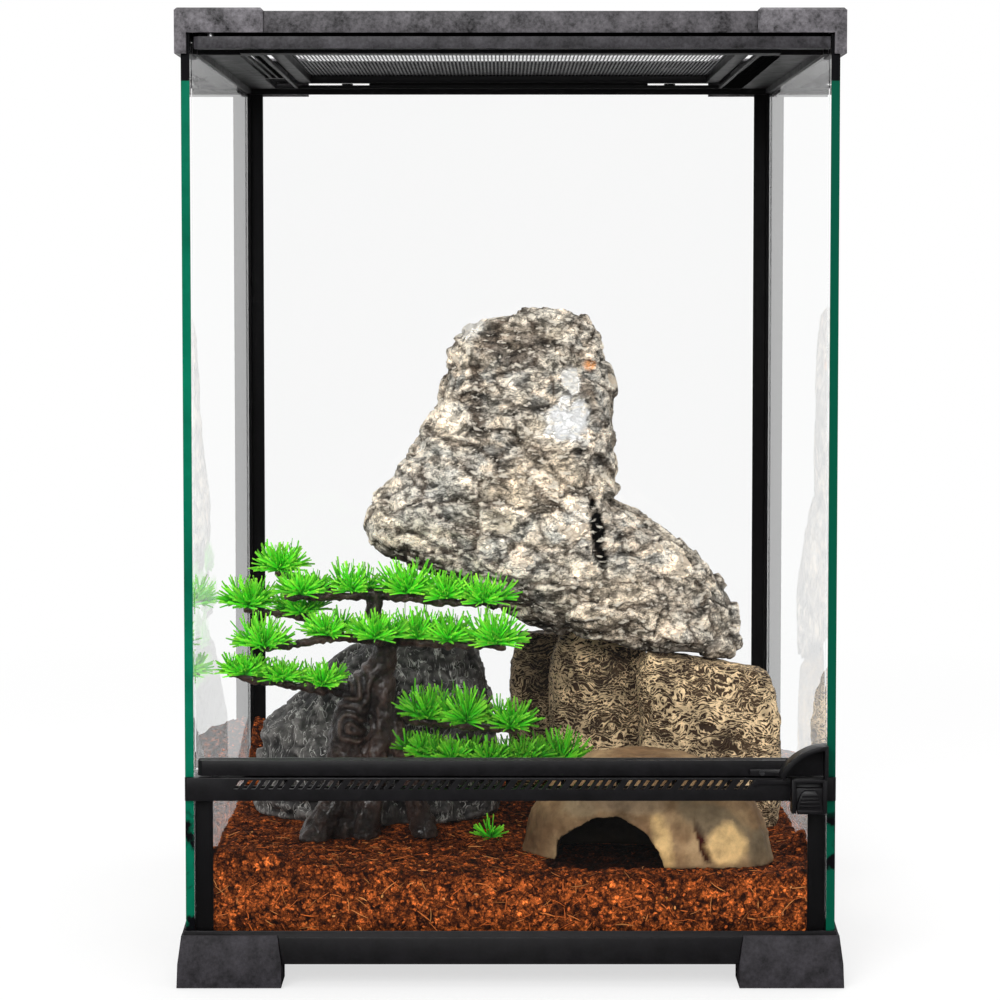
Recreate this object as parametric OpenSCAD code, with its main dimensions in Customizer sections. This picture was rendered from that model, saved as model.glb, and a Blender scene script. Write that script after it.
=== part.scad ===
// Tall glass terrarium with a side-hinged front door, a lift-off mesh lid and a
// furnished interior: soil, stacked stones, a cave hide and a plastic bonsai.
// Millimetres, +Z up, door towards -Y, origin under the middle of the whole object.

/* [Glass box] */
// Width of the box over the outer faces of its side panes
tank_w = 300; // [240:5:420]
// Depth of the box from the front edges of its side panes to its back
tank_d = 300; // [270:5:420]
// Height from the surface it stands on to the top of the corner caps
overall_h = 450; // [400:5:620]
// Thickness of the fixed panes
glass_t = 4; // [3:0.5:6]
// Thickness of the bottom pane
floor_t = 4; // [3:0.5:6]
// Clearance between a pane and the plastic that holds it
pane_gap = 0.15; // [0.1:0.05:0.4]
// Clearance between two plastic pieces that clip together
clip_gap = 0.1; // [0.05:0.05:0.3]

/* [Base frame] */
// Height of the frame's underside above the ground
ground_gap = 10.5; // [6:0.5:20]
// Thickness of the frame's bottom web
base_web = 3; // [2:0.5:5]
// Height of the frame's outer wall
base_h = 12.4; // [10:0.2:20]
// How far the outer wall stands out from the glass
base_proud = 1.6; // [1.3:0.1:3]
// Height of the thin lip above the outer wall
base_lip_h = 3.1; // [1:0.1:6]
// Height of the ledge under the bottom pane, above the web
base_ledge_h = 3.7; // [2:0.1:6]
// Width of that ledge
base_ledge_w = 12; // [8:0.5:25]

/* [Corner feet] */
// Length of a foot's leg at the ground, from the glass corner
foot_leg = 44.2; // [30:0.2:70]
// Height of a foot's front face
foot_h = 24.1; // [20:0.1:36]
// How far a foot stands out from the glass at the ground
foot_flare = 4.2; // [3:0.1:8]
// How far a foot stands out from the glass at its upper edge
foot_top_proud = 2.1; // [1.8:0.1:3]
// Width of a foot's leg, measured inwards from the glass
foot_width = 18; // [12:0.5:30]
// Height of the crease where the flare begins
foot_crease = 11; // [6:0.5:18]

/* [Top frame] */
// Height of the rails on the outside
rail_h = 9.8; // [8:0.2:16]
// How far the rails stand out from the glass
rail_proud = 1.4; // [1.2:0.1:2.5]
// Thickness of the rails' top web
rail_web = 3.5; // [2:0.5:5]
// Depth of the inner wall below the rails' top
skirt_h = 18.5; // [16:0.5:30]
// Thickness of the inner wall
skirt_t = 2; // [1.5:0.5:4]
// Depth of the front beam, from the front edges of the side panes
beam_d = 19; // [16:0.5:30]
// Distance from the side pane's outer face to the inner edge of the side ledge
ledge_w = 32.8; // [28:0.2:45]
// Thickness of the side and rear ledges
ledge_t = 1.8; // [1.5:0.1:3]

/* [Corner caps] */
// Length of a cap's arm, from the glass corner
cap_arm = 37.7; // [25:0.1:60]
// How far a cap stands out from the glass
cap_proud = 2.7; // [2.4:0.1:4]
// How far a cap stands above the rails
cap_rise = 1.5; // [1:0.1:3]
// Height of a cap's long skirt
cap_leg = 20.8; // [16:0.1:32]
// Chamfer round the top of a cap
cap_chamfer = 1.2; // [0.4:0.1:1.4]

/* [Corner posts] */
// Width of each leg of the angle-shaped posts
post_w = 8.2; // [6:0.2:14]
// Wall of the posts
post_t = 1.5; // [1:0.1:3]

/* [Vent strip] */
// Height of the strip's underside
vent_z = 87; // [60:1:140]
// Height of the strip's face
vent_h = 10.7; // [10:0.1:16]
// How far the strip stands out from the glass
vent_proud = 3; // [2:0.1:5]
// Pitch of the vent slots
slot_pitch = 4; // [3.5:0.1:6]
// Width of a vent slot
slot_w = 2.1; // [1:0.1:2.5]
// Height of a vent slot
slot_h = 4.4; // [3:0.1:5]
// Slots in each group
slots_per_group = 6; // [3:1:10]
// Gap between two groups, beyond the pitch
group_gap = 1.6; // [1:0.1:4]

/* [Door] */
// Gap between the door's glass and each side pane
door_side_gap = 0.7; // [0.6:0.1:1.5]
// Thickness of the door's glass
door_t = 4; // [3:0.5:5]
// Height of the door's top rail
door_rail_h = 5.3; // [4.5:0.1:9]
// Height of the door's bottom rail
door_sill_h = 7.2; // [6:0.1:12]
// Gap under the door
door_gap = 0.8; // [0.6:0.1:2]
// Gap above the door
door_head_gap = 1.8; // [1:0.1:3]
// Thickness of the door's rails
door_rail_t = 8.8; // [7.5:0.1:10]
// Distance from the side pane's inner face to the hinge axis
hinge_inset = 9.5; // [9.2:0.1:14]
// Radius of the hinge pins
pin_r = 1.5; // [1:0.1:1.8]
// Radial clearance of a pin in its socket
pin_gap = 0.06; // [0.03:0.01:0.1]

/* [Handle and lock] */
// Width of the pull
pull_w = 26; // [22:0.5:40]
// Height of the pull above the door's lower edge
pull_h = 15; // [12:0.5:22]
// How far the pull stands out from the front edges of the side panes
pull_reach = 12.5; // [9:0.5:16]
// Width of the lock
lock_w = 16.1; // [14:0.1:24]
// Height of the lock's housing
lock_h = 15.4; // [14:0.1:20]
// How far the lock's housing stands out from the front edges of the side panes
lock_depth = 11.2; // [9:0.1:16]
// How far the thumb pad stands out in front of the housing
pad_proud = 2.6; // [1:0.1:4]
// Travel of the lock's slide, upwards to the locked place
lock_travel = 3; // [2:0.5:4]
// Thickness of the bolt that rises in front of the closed door
bolt_t = 1.6; // [1:0.1:2.5]

/* [Lid and cable ports] */
// Width of the lid's frame members
lid_member = 6.6; // [5:0.2:12]
// Height of the lid's frame
lid_h = 6; // [4:0.5:8]
// Gaps in the mesh along the width
mesh_cells_x = 17; // [6:1:17]
// Gaps in the mesh along the depth
mesh_cells_y = 17; // [6:1:17]
// Width of a mesh wire
wire_w = 0.6; // [0.4:0.1:1.2]
// Length of each cable port
port_len = 74; // [40:1:90]
// Width of each cable port
port_w = 11; // [8:0.5:12]
// Travel of a lid lock's tab
tab_travel = 3; // [2:0.5:4]

/* [Soil and stones] */
// Depth of the soil bed
soil_depth = 28.8; // [15:0.2:60]
// Height of the heap of soil in the rear left corner
heap_h = 24; // [5:1:40]
// Height of the upright grey rock
rock_h = 164; // [100:2:200]
// Height of the ridged stones under the rock
ridge_h = 92; // [60:1:110]
// Gap between the ridged stones
ridge_gap = 0.8; // [0.5:0.1:4]
// Length of the cave hide
hide_w = 124; // [90:1:140]
// Height of the cave hide
hide_h = 51; // [35:1:60]
// Wall of the cave hide
hide_wall = 6; // [4:0.5:9]

/* [Bonsai] */
// Height of the tree's highest branch above the soil
tree_h = 130; // [110:1:150]
// Height of the dark stone behind the trunk
stone_h = 92; // [60:1:110]
// Thickness of the trunk at its foot
trunk_r = 11; // [8:0.5:14]
// Thickness of the branches
branch_r = 2.3; // [1.5:0.1:3.5]
// Needles in each tuft
needles = 14; // [6:1:16]
// Thickness of a needle at its foot
needle_r = 0.55; // [0.4:0.05:0.8]

/* [Hidden] */
$fn = 48;

// Colours
black = [0.11, 0.10, 0.12];
glass = [0.75, 0.88, 0.84, 0.35];
steel = [0.55, 0.56, 0.57];
soil_brown = [0.36, 0.17, 0.09];
rock_grey = [0.62, 0.59, 0.54];
stone_brown = [0.40, 0.30, 0.20];
resin_tan = [0.62, 0.53, 0.38];
bark = [0.20, 0.15, 0.13];
leaf_green = [0.20, 0.75, 0.15];

// Plan: y is counted from the front edges of the side panes, and front_y places them
half_w = tank_w / 2;
leg_taper = 1.9;
lock_reach = lock_depth + pad_proud;
front_y = -(tank_d + foot_flare - lock_reach) / 2;

// Heights of the base
pane_z = ground_gap + base_web + pane_gap;
base_top = ground_gap + base_h;
base_lip_top = base_top + base_lip_h;
floor_z = ground_gap + base_web + base_ledge_h;
soil_z0 = floor_z + floor_t;
soil_z = soil_z0 + soil_depth;

// Heights of the top
rail_top = overall_h - cap_rise;
rail_z = rail_top - rail_h;
web_z = rail_top - rail_web;
pane_top = web_z - pane_gap;
skirt_z = rail_top - skirt_h;
ledge_z = skirt_z + 3;
ledge_top = ledge_z + ledge_t;
lid_z = ledge_top + 1.1;
lid_rest = 0.2;
lid_top = lid_z + lid_h;
mesh_z = lid_z + lid_h * 0.65;

// Inner faces, as distances inwards from the glass's outer face
skirt_in = glass_t + pane_gap + skirt_t;
web_in = skirt_in + 1.8;
cap_in = web_in + 0.3;
lip_t = 0.7;

// Door and vent strip
vent_top = vent_z + vent_h;
low_pane_top = vent_z + 4;
door_z = vent_top + door_gap;
door_top = rail_z - door_head_gap;
door_half = half_w - glass_t - door_side_gap;
door_y = 0.2;
hinge_x = -(half_w - glass_t - hinge_inset);
hinge_y = door_y + door_t / 2;
rail_y0 = hinge_y - door_rail_t / 2;
rail_y1 = hinge_y + door_rail_t / 2;
rail_stub = hinge_inset - 2;
rail_nib = 2;
swing_room = hinge_inset + 3.2;
socket_depth = 5.3;
boss_r = 3.2;
stop_y = rail_y1 + 1;

// Lock and pull
lock_x1 = door_half - 0.4;
lock_x0 = lock_x1 - lock_w;
lock_top = vent_top + 0.4;
lock_z = lock_top - lock_h;
lock_wall = 1.2;
lock_back = 1.7;
pull_x1 = door_half;
pull_x0 = pull_x1 - pull_w;
pull_t = 2;

// Slots of the vent strip, from its left end to the lock's strap
vent_x0 = -half_w + 22.4;
vent_x1 = lock_x0 - 17.8;
group_pitch = slots_per_group * slot_pitch + group_gap;
slot_groups = ceil((vent_x1 - vent_x0 + slot_pitch) / group_pitch);

// Lid
lid_half = half_w - ledge_w - 0.6;
lid_y0 = beam_d + 0.5;
lid_y1 = tank_d - web_in - 0.6;
lock_tab_x = 0.3 * tank_w;
port_x = half_w - ledge_w + 1.8;
port_y1 = tank_d - 12;
port_y0 = port_y1 - port_len;
slider_len = port_len - 4;

// Planting: places are given for a box 300 mm square, and follow the real one
function px(x) = x * tank_w / 300;
function py(y) = y * tank_d / 300;

// The seat plane of the rock falls to the right, and passes seat_z at seat_x
seat_slope = -0.17;
seat_x = px(50);
seat_z = soil_z + ridge_h;
seat_gap = 0.3;

module slab(x, y, z) {
    translate([x[0], front_y + y[0], z[0]]) cube([x[1] - x[0], y[1] - y[0], z[1] - z[0]]);
}

module both_sides() {
    children();
    mirror([1, 0, 0]) children();
}

// A rectangular tube round the box, from t0 to t1 inwards of the glass's outer faces
module ring(t0, t1, z0, z1) {
    difference() {
        slab([-half_w + t0, half_w - t0], [t0, tank_d - t0], [z0, z1]);
        slab([-half_w + t1, half_w - t1], [t1, tank_d - t1], [z0 - 1, z1 + 1]);
    }
}

// The four places of a piece that is drawn at the front left corner of the glass
module corner(right, rear) {
    mirror([right ? 1 : 0, 0, 0])
        translate([0, rear ? 2 * front_y + tank_d : 0, 0])
            mirror([0, rear ? 1 : 0, 0]) children();
}

// ---- Base ----

// Side view of the space that a foot's leg needs, from the glass corner
module leg_space() {
    outer = foot_leg + clip_gap;
    upper = foot_leg - leg_taper + clip_gap;
    polygon([[-foot_flare - 5, ground_gap - 1], [outer, ground_gap - 1], [outer, foot_crease],
             [upper, foot_h], [upper, base_lip_top + 1], [-foot_flare - 5, base_lip_top + 1]]);
}

module foot_rebate() {
    depth = foot_flare + 5 - lip_t - pane_gap;
    for (right = [false, true], rear = [false, true])
        corner(right, rear) {
            translate([-half_w, front_y - lip_t - pane_gap, 0]) rotate([90, 0, 0])
                linear_extrude(depth) leg_space();
            translate([-half_w - foot_flare - 5, front_y, 0]) rotate([90, 0, 90])
                linear_extrude(depth) leg_space();
        }
}

module base_frame() color(black) difference() {
    union() {
        ring(-base_proud, glass_t + base_ledge_w, ground_gap, ground_gap + base_web);
        ring(-base_proud, -pane_gap, ground_gap, base_top);
        ring(-lip_t - pane_gap, -pane_gap, ground_gap, base_lip_top);
        ring(glass_t + pane_gap, glass_t + base_ledge_w, ground_gap, floor_z);
    }
    foot_rebate();
}

// One horizontal slice of a foot's leg, for the hulls below
module foot_slice(z, proud, along, across) {
    slab([-half_w - proud, -half_w + along], [-proud, across], [z, z + 0.01]);
}

module foot(right, rear) color(black) corner(right, rear) difference() {
    crease_proud = foot_flare - 0.4;
    leg_top = foot_leg - leg_taper;
    union() {
        hull() {
            foot_slice(0, foot_flare, foot_leg, foot_width);
            foot_slice(foot_crease, crease_proud, foot_leg, foot_width);
            foot_slice(foot_h - 0.01, foot_top_proud, leg_top, foot_width);
        }
        hull() {
            foot_slice(0, foot_flare, foot_width, foot_leg);
            foot_slice(foot_crease, crease_proud, foot_width, foot_leg);
            foot_slice(foot_h - 0.01, foot_top_proud, foot_width, leg_top);
        }
        hull() {
            slab([-half_w - foot_top_proud, -half_w], [0, leg_top], [foot_h - 0.5, foot_h - 0.4]);
            slab([-half_w - 0.5, -half_w], [4, leg_top - 4], [foot_h + 5.3, foot_h + 5.4]);
        }
    }
    slab([-half_w - lip_t - pane_gap - clip_gap, half_w], [-lip_t - pane_gap - clip_gap, tank_d],
         [ground_gap - clip_gap, base_lip_top + clip_gap]);
    slab([-half_w - pane_gap, half_w], [-pane_gap, tank_d], [base_lip_top, foot_h + 9]);
}

module bottom_glass() color(glass) {
    inset = glass_t + pane_gap + 0.3;
    slab([-half_w + inset, half_w - inset], [inset, tank_d - inset], [floor_z, soil_z0]);
}

// ---- Glass walls and posts ----

module side_glass(side) color(glass) mirror([side < 0 ? 1 : 0, 0, 0])
    slab([half_w - glass_t, half_w], [0, tank_d], [pane_z, pane_top]);

module rear_glass() color(glass) {
    inset = glass_t + pane_gap;
    slab([-half_w + inset, half_w - inset], [tank_d - glass_t, tank_d], [pane_z, pane_top]);
}

module front_lower_glass() color(glass) {
    inset = glass_t + pane_gap;
    slab([-half_w + inset, half_w - inset], [0, glass_t], [pane_z, low_pane_top]);
}

module post(right, rear, z1) color(black) corner(right, rear) {
    t0 = glass_t + pane_gap;
    slab([-half_w + t0, -half_w + t0 + post_w], [t0, t0 + post_t], [soil_z0, z1]);
    slab([-half_w + t0, -half_w + t0 + post_t], [t0, t0 + post_w], [soil_z0, z1]);
}

// ---- Vent strip ----

module vent_slots() {
    lean = slot_h * 0.75;
    slot_z = vent_top - 0.9 - slot_h;
    for (g = [0:slot_groups - 1], s = [0:slots_per_group - 1]) {
        x = vent_x0 + g * group_pitch + s * slot_pitch;
        if (x + slot_w + lean < vent_x1 + 3)
            translate([x, front_y + 1, slot_z]) rotate([90, 0, 0])
                linear_extrude(vent_proud + 3)
                    polygon([[0, 0], [slot_w, 0], [slot_w + lean, slot_h], [lean, slot_h]]);
    }
}

module vent_strip() color(black) difference() {
    inner = half_w - glass_t - pane_gap;
    lip_y = glass_t + pane_gap;
    union() {
        // Face, with ends that wrap in front of the side panes
        translate([0, 0, vent_z]) linear_extrude(vent_h) {
            polygon([[-half_w, front_y - pane_gap], [-half_w, front_y - vent_proud + 1.2],
                     [-half_w + 1.2, front_y - vent_proud], [half_w - 1.2, front_y - vent_proud],
                     [half_w, front_y - vent_proud + 1.2], [half_w, front_y - pane_gap]]);
        }
        // Sill under the door, with the stop that the door closes on
        slab([-inner, inner], [-vent_proud, stop_y + 2.5], [vent_top - 1.8, vent_top]);
        slab([hinge_x + swing_room, -hinge_x - swing_room], [stop_y, stop_y + 2],
             [vent_top - 1.8, vent_top + 2.6]);
        // Lip behind the lower pane, and ribs that tie it to the sill
        slab([-inner, inner], [lip_y, lip_y + 1.8], [vent_z, low_pane_top + 1.5]);
        for (g = [0:slot_groups])
            slab([vent_x0 - 2.6 + g * group_pitch, vent_x0 - 1 + g * group_pitch],
                 [-pane_gap - 1, lip_y + 1.8], [low_pane_top + pane_gap, vent_top - 1]);
        // Boss for the lower hinge pin
        translate([hinge_x, front_y + hinge_y, low_pane_top + pane_gap])
            cylinder(r = boss_r, h = vent_top - low_pane_top - pane_gap);
    }
    vent_slots();
    translate([hinge_x, front_y + hinge_y, vent_top - socket_depth])
        cylinder(r = pin_r + pin_gap, h = socket_depth + 1);
}

// ---- Top frame ----

// Width of one of the long slots beside the cable port
function port_slot(k) = [port_x + 0.4 + k * 3.6, port_x + 2.6 + k * 3.6];

module top_ledge_cuts() {
    both_sides() {
        // Cable port, and the three long slots in front of it
        slab([port_x, port_x + port_w], [port_y0, port_y1], [ledge_z - 1, ledge_top + 1]);
        for (k = [0:2])
            slab(port_slot(k), [60, port_y0 - 6], [ledge_z - 1, ledge_top + 1]);
    }
    // Windows in the rear wall, above the ledge
    both_sides()
        slab([lock_tab_x - 12, port_x + port_w], [tank_d - skirt_in - 1, tank_d - glass_t],
             [ledge_top, lid_z + 1.4]);
}

module top_frame() color(black) difference() {
    t0 = glass_t + pane_gap;
    inner = half_w - t0;
    pocket_x = -hinge_x - boss_r - 1.5;
    union() {
        difference() {
            union() {
                ring(-rail_proud, web_in, web_z, rail_top);
                ring(-rail_proud, -pane_gap, rail_z, web_z);
            }
            // Seats of the corner caps
            for (right = [false, true], rear = [false, true])
                corner(right, rear) difference() {
                    slab([-half_w - 9, -half_w + cap_arm], [-9, cap_arm], [rail_z - 1, rail_top + 1]);
                    slab([-half_w - rail_proud + 0.3, half_w], [-rail_proud + 0.3, tank_d],
                         [rail_z - 2, rail_top + 2]);
                }
        }
        // Inner wall at the sides and the back
        difference() {
            ring(t0, skirt_in, skirt_z, web_z);
            slab([-half_w, half_w], [-1, swing_room], [skirt_z - 1, web_z + 1]);
        }
        // Front beam, with the stop that the door closes on
        slab([-inner, inner], [-rail_proud + 0.3, beam_d], [web_z, rail_top]);
        slab([-inner + skirt_t, inner - skirt_t], [beam_d - skirt_t, beam_d], [skirt_z, web_z]);
        slab([-pocket_x + 8, pocket_x - 8], [stop_y, stop_y + 2], [skirt_z, web_z]);
        slab([-pocket_x + 8, pocket_x - 8], [stop_y, beam_d], [skirt_z, skirt_z + 1.8]);
        // Ledges at the sides and the back
        both_sides()
            slab([half_w - ledge_w, half_w - skirt_in], [beam_d - 1, tank_d - skirt_in + 1],
                 [ledge_z, ledge_top]);
        slab([-half_w + skirt_in, half_w - skirt_in], [tank_d - skirt_in - 5.3, tank_d - skirt_in + 1],
             [ledge_z, ledge_top]);
        // Nubs that the lid rests on
        both_sides() {
            slab([lock_tab_x - 3, lock_tab_x + 3], [tank_d - skirt_in - 5, tank_d - skirt_in + 0.5],
                 [ledge_z, lid_z - lid_rest]);
            slab([lock_tab_x - 3, lock_tab_x + 3], [beam_d - 1, beam_d + 4], [ledge_z, lid_z - lid_rest]);
            // Ribs that guide the sliders
            slab([port_x + port_w + 2.5, port_x + port_w + 3.7], [60, tank_d - skirt_in + 0.5],
                 [ledge_z, ledge_top + 2.4]);
        }
        // Bosses for the upper hinge pin, one at each end
        both_sides()
            translate([hinge_x, front_y + hinge_y, rail_z]) cylinder(r = boss_r, h = web_z - rail_z + 1);
    }
    top_ledge_cuts();
    both_sides()
        translate([hinge_x, front_y + hinge_y, rail_z - 1])
            cylinder(r = pin_r + pin_gap, h = socket_depth + 1);
}

module cap(right, rear) color(black) corner(right, rear) difference() {
    rim = overall_h - cap_chamfer;
    long_z = overall_h - cap_leg;
    short_z = rear ? long_z : rail_z - clip_gap;
    wrap = 2.7;
    small = cap_proud - cap_chamfer;
    union() {
        hull() {
            slab([-half_w - cap_proud, -half_w + cap_arm], [-cap_proud, cap_in], [rail_z, rim]);
            slab([-half_w - small, -half_w + cap_arm - cap_chamfer], [-small, cap_in - cap_chamfer],
                 [rim, overall_h]);
        }
        hull() {
            slab([-half_w - cap_proud, -half_w + cap_in], [-cap_proud, cap_arm], [rail_z, rim]);
            slab([-half_w - small, -half_w + cap_in - cap_chamfer], [-small, cap_arm - cap_chamfer],
                 [rim, overall_h]);
        }
        // Long skirt along the side, and the part that wraps in front of the pane
        slab([-half_w - cap_proud, -half_w - pane_gap], [-cap_proud, cap_arm], [long_z, rail_z + 1]);
        slab([-half_w - cap_proud, rear ? -half_w + cap_arm : -half_w + wrap], [-cap_proud, -pane_gap],
             [long_z, rail_z + 1]);
    }
    seat_t = rail_proud - 0.3 + clip_gap;
    slab([-half_w - seat_t, half_w], [-seat_t, tank_d], [rail_z - clip_gap, rail_top + clip_gap]);
}

// ---- Lid, its locks and the cable port sliders ----

// The lid's outline, drawn in at every edge
module lid_slab(inset, z) {
    slab([-lid_half + inset, lid_half - inset], [lid_y0 + inset, lid_y1 - inset], z);
}

module lid_frame() color(black) difference() {
    union() {
        difference() {
            lid_slab(0, [lid_z, lid_top]);
            lid_slab(lid_member, [lid_z - 1, lid_top + 1]);
        }
        // Guides for the lock tabs
        both_sides() for (side = [-1, 1])
            translate([side * 7, 0, 0])
                slab([lock_tab_x - 0.8, lock_tab_x + 0.8], [lid_y1 - lid_member, lid_y1],
                     [lid_top - 1, lid_top + 2.4]);
    }
    // Groove for the mesh
    lid_slab(lid_member / 2, [mesh_z - pane_gap, mesh_z + wire_w + pane_gap]);
}

module lid_mesh() color(steel) {
    edge = lid_member / 2 + pane_gap;
    w = 2 * (lid_half - edge);
    d = lid_y1 - lid_y0 - 2 * edge;
    pitch_x = (w - wire_w) / mesh_cells_x;
    pitch_y = (d - wire_w) / mesh_cells_y;
    translate([-w / 2, front_y + lid_y0 + edge, mesh_z]) linear_extrude(wire_w) union() {
        for (i = [0:mesh_cells_x]) translate([i * pitch_x, 0]) square([wire_w, d]);
        for (j = [0:mesh_cells_y]) translate([0, j * pitch_y]) square([w, wire_w]);
    }
}

module lid_lock(side) color(black) {
    x = side * lock_tab_x;
    tail = tank_d - skirt_in - 0.4 - tab_travel;
    slab([x - 5.9, x + 5.9], [tail - 5.4, tail], [lid_top + clip_gap, lid_top + 1.9]);
    for (k = [0:2])
        slab([x - 4.5, x + 4.5], [tail - 5 + k * 1.5, tail - 4.3 + k * 1.5], [lid_top + 1.5, lid_top + 2.3]);
}

module port_slider(side) color(black) mirror([side < 0 ? 1 : 0, 0, 0]) {
    x0 = half_w - ledge_w + 0.2;
    x1 = port_x + port_w + 2.2;
    y1 = port_y0 - 2;
    z0 = ledge_top + clip_gap;
    difference() {
        slab([x0, x1], [y1 - slider_len, y1], [z0, z0 + 1.2]);
        for (k = [0:2])
            slab(port_slot(k), [y1 - slider_len + 5, y1 - 14], [z0 - 1, z0 + 3]);
    }
    for (k = [0:3]) slab([x0 + 4, x1 - 2], [y1 - 11 + k * 2.4, y1 - 9.8 + k * 2.4], [z0 + 1, z0 + 2.6]);
}

// ---- Door ----

module door_glass() color(glass)
    slab([-door_half, door_half], [door_y, door_y + door_t],
         [door_z + door_sill_h * 0.34 + pane_gap, door_top - door_rail_h * 0.46 - pane_gap]);

// Plan of a door rail, with its hinge end cut back so that it can turn
module rail_plan() polygon([
    [hinge_x - rail_stub + rail_nib, front_y + rail_y0], [door_half, front_y + rail_y0],
    [door_half, front_y + rail_y1], [hinge_x - rail_stub + rail_nib, front_y + rail_y1],
    [hinge_x - rail_stub, front_y + rail_y1 - rail_nib], [hinge_x - rail_stub, front_y + rail_y0 + rail_nib]
]);

module door_top_rail() color(black) difference() {
    translate([0, 0, door_top - door_rail_h]) linear_extrude(door_rail_h) rail_plan();
    slab([-half_w, half_w], [door_y - pane_gap, door_y + door_t + pane_gap],
         [door_top - door_rail_h - 1, door_top - door_rail_h * 0.46]);
    translate([hinge_x, front_y + hinge_y, door_top - door_rail_h * 0.46])
        cylinder(r = pin_r, h = door_rail_h);
}

module door_bottom_rail() color(black) difference() {
    translate([0, 0, door_z]) linear_extrude(door_sill_h) rail_plan();
    slab([-half_w, half_w], [door_y - pane_gap, door_y + door_t + pane_gap],
         [door_z + door_sill_h * 0.34, door_z + door_sill_h + 1]);
    // Bevel along the front upper edge
    translate([-half_w, front_y + rail_y0, door_z + door_sill_h - 1.3]) rotate([45, 0, 0])
        translate([0, -2, 0]) cube([tank_w, 2, 4]);
    translate([hinge_x, front_y + hinge_y, door_z - 1]) cylinder(r = pin_r, h = 1 + door_sill_h * 0.34);
}

module hinge_pin_top() color(steel)
    translate([hinge_x, front_y + hinge_y, door_top - door_rail_h * 0.46 + 0.1])
        cylinder(r = pin_r, h = door_rail_h * 0.46 + door_head_gap + socket_depth - 0.8);

module hinge_pin_bottom() color(steel)
    translate([hinge_x, front_y + hinge_y, vent_top - socket_depth + 0.6])
        cylinder(r = pin_r, h = socket_depth - 0.6 + door_gap + door_sill_h * 0.34 - 0.1);

// Curved line of the pull, from its low left end to its high right end
function pull_curve(s) = [pull_x0 + 4 + (pull_w - 4) * s, 1.2 + (pull_h - 1.2) * sin(90 * pow(s, 0.72))];

module door_handle() color(black) translate([0, 0, door_z + 0.3]) {
    steps = 12;
    y_face = rail_y0 - clip_gap;
    // Curved hood
    translate([0, front_y + y_face, 0]) rotate([90, 0, 0]) linear_extrude(pull_reach + y_face)
        polygon(concat([for (k = [0:steps]) pull_curve(k / steps)],
                       [for (k = [steps:-1:0]) pull_curve(k / steps) - [0, pull_t]
                        + [pull_t * 0.8 * (1 - k / steps), 0]]));
    // Back plate under the hood, end wall and left clip
    translate([0, front_y + y_face, 0]) rotate([90, 0, 0]) linear_extrude(1.6)
        polygon(concat([for (k = [0:steps]) pull_curve(k / steps) - [0, 0.4]],
                       [[pull_x1, 0], [pull_x0 + 2, 0]]));
    slab([pull_x1 - 1.6, pull_x1], [-pull_reach, y_face], [0, pull_h]);
    slab([pull_x0 - 9, pull_x0 + 6], [y_face - 1.6, y_face], [0, 3]);
}

module handle_screw() color(steel)
    translate([pull_x0 - 3.6, front_y + rail_y0 - clip_gap - 1.6, door_z + 1.8]) rotate([90, 0, 0])
        difference() {
            cylinder(r = 1.3, h = 0.7);
            translate([-1.5, -0.2, 0.4]) cube([3, 0.4, 1]);
        }

// ---- Lock ----

module lock_housing() color(black) {
    y0 = -lock_depth;
    y1 = -vent_proud - clip_gap;
    difference() {
        slab([lock_x0, lock_x1], [y0, y1], [lock_z, lock_top]);
        // Channel of the slide, open above and below
        slab([lock_x0 + lock_wall, lock_x1 - lock_wall], [y0 + lock_wall, y1 - lock_back],
             [lock_z - 1, lock_top + 1]);
        // Window of the thumb pad
        slab([lock_x0 + 1.9, lock_x1 - 1.9], [y0 - 1, y0 + lock_wall + 1], [lock_z - 1, lock_top - 1.2]);
    }
    // Strap on the strip, with a round end
    slab([lock_x0 - 16, lock_x0 + 0.5], [y1 - 1.4, y1], [lock_top - 3.2, lock_top - 1]);
    translate([lock_x0 - 16, front_y + y1, lock_top - 2.6]) rotate([90, 0, 0]) cylinder(r = 1.5, h = 1.4);
}

module lock_slide() color(black) {
    gap = 0.2;
    y_back = -vent_proud - clip_gap - lock_back - gap;
    y_front = -lock_depth + lock_wall + gap;
    mid = (lock_x0 + lock_x1) / 2;
    half = lock_w / 2 - lock_wall - gap;
    pad_half = lock_w / 2 - 2.3;
    // Block in the channel; its rear edge is the bolt that rises in front of the closed door
    slab([mid - half, mid + half], [y_front, y_back], [lock_z + 1, lock_top - 1 - lock_travel]);
    slab([mid - half, mid + half], [y_back - bolt_t, y_back], [lock_z + 1, lock_top - 0.1]);
    // Thumb pad, narrower at the top, with ribs and a lip to push
    translate([mid, front_y + y_front + 0.5, lock_z + 0.2]) rotate([90, 0, 0])
        linear_extrude(lock_depth + y_front + 0.5 + pad_proud * 0.45)
            polygon([[-pad_half, 0], [pad_half, 0], [pad_half, 4], [pad_half - 1.6, 8.6],
                     [pad_half - 3.4, 10.4], [-pad_half + 3.4, 10.4],
                     [-pad_half + 1.6, 8.6], [-pad_half, 4]]);
    for (k = [0:3])
        slab([mid - pad_half + 1.2 + k * 0.3, mid + pad_half - 1.2 - k * 0.3],
             [-lock_depth - pad_proud * 0.7, -lock_depth - 0.4],
             [lock_z + 3.4 + k * 1.6, lock_z + 4 + k * 1.6]);
    slab([mid - pad_half, mid + pad_half], [-lock_depth - pad_proud, -lock_depth - 0.4],
         [lock_z + 0.2, lock_z + 1.9]);
}

// ---- Lofted stones ----

// Uneven value between -1 and 1, from an angle and a level
function ripple(a, b) =
    0.5 * sin(2 * a + 57 * b) + 0.3 * sin(5 * a - 91 * b + 40) + 0.2 * sin(9 * a + 133 * b);

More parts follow.
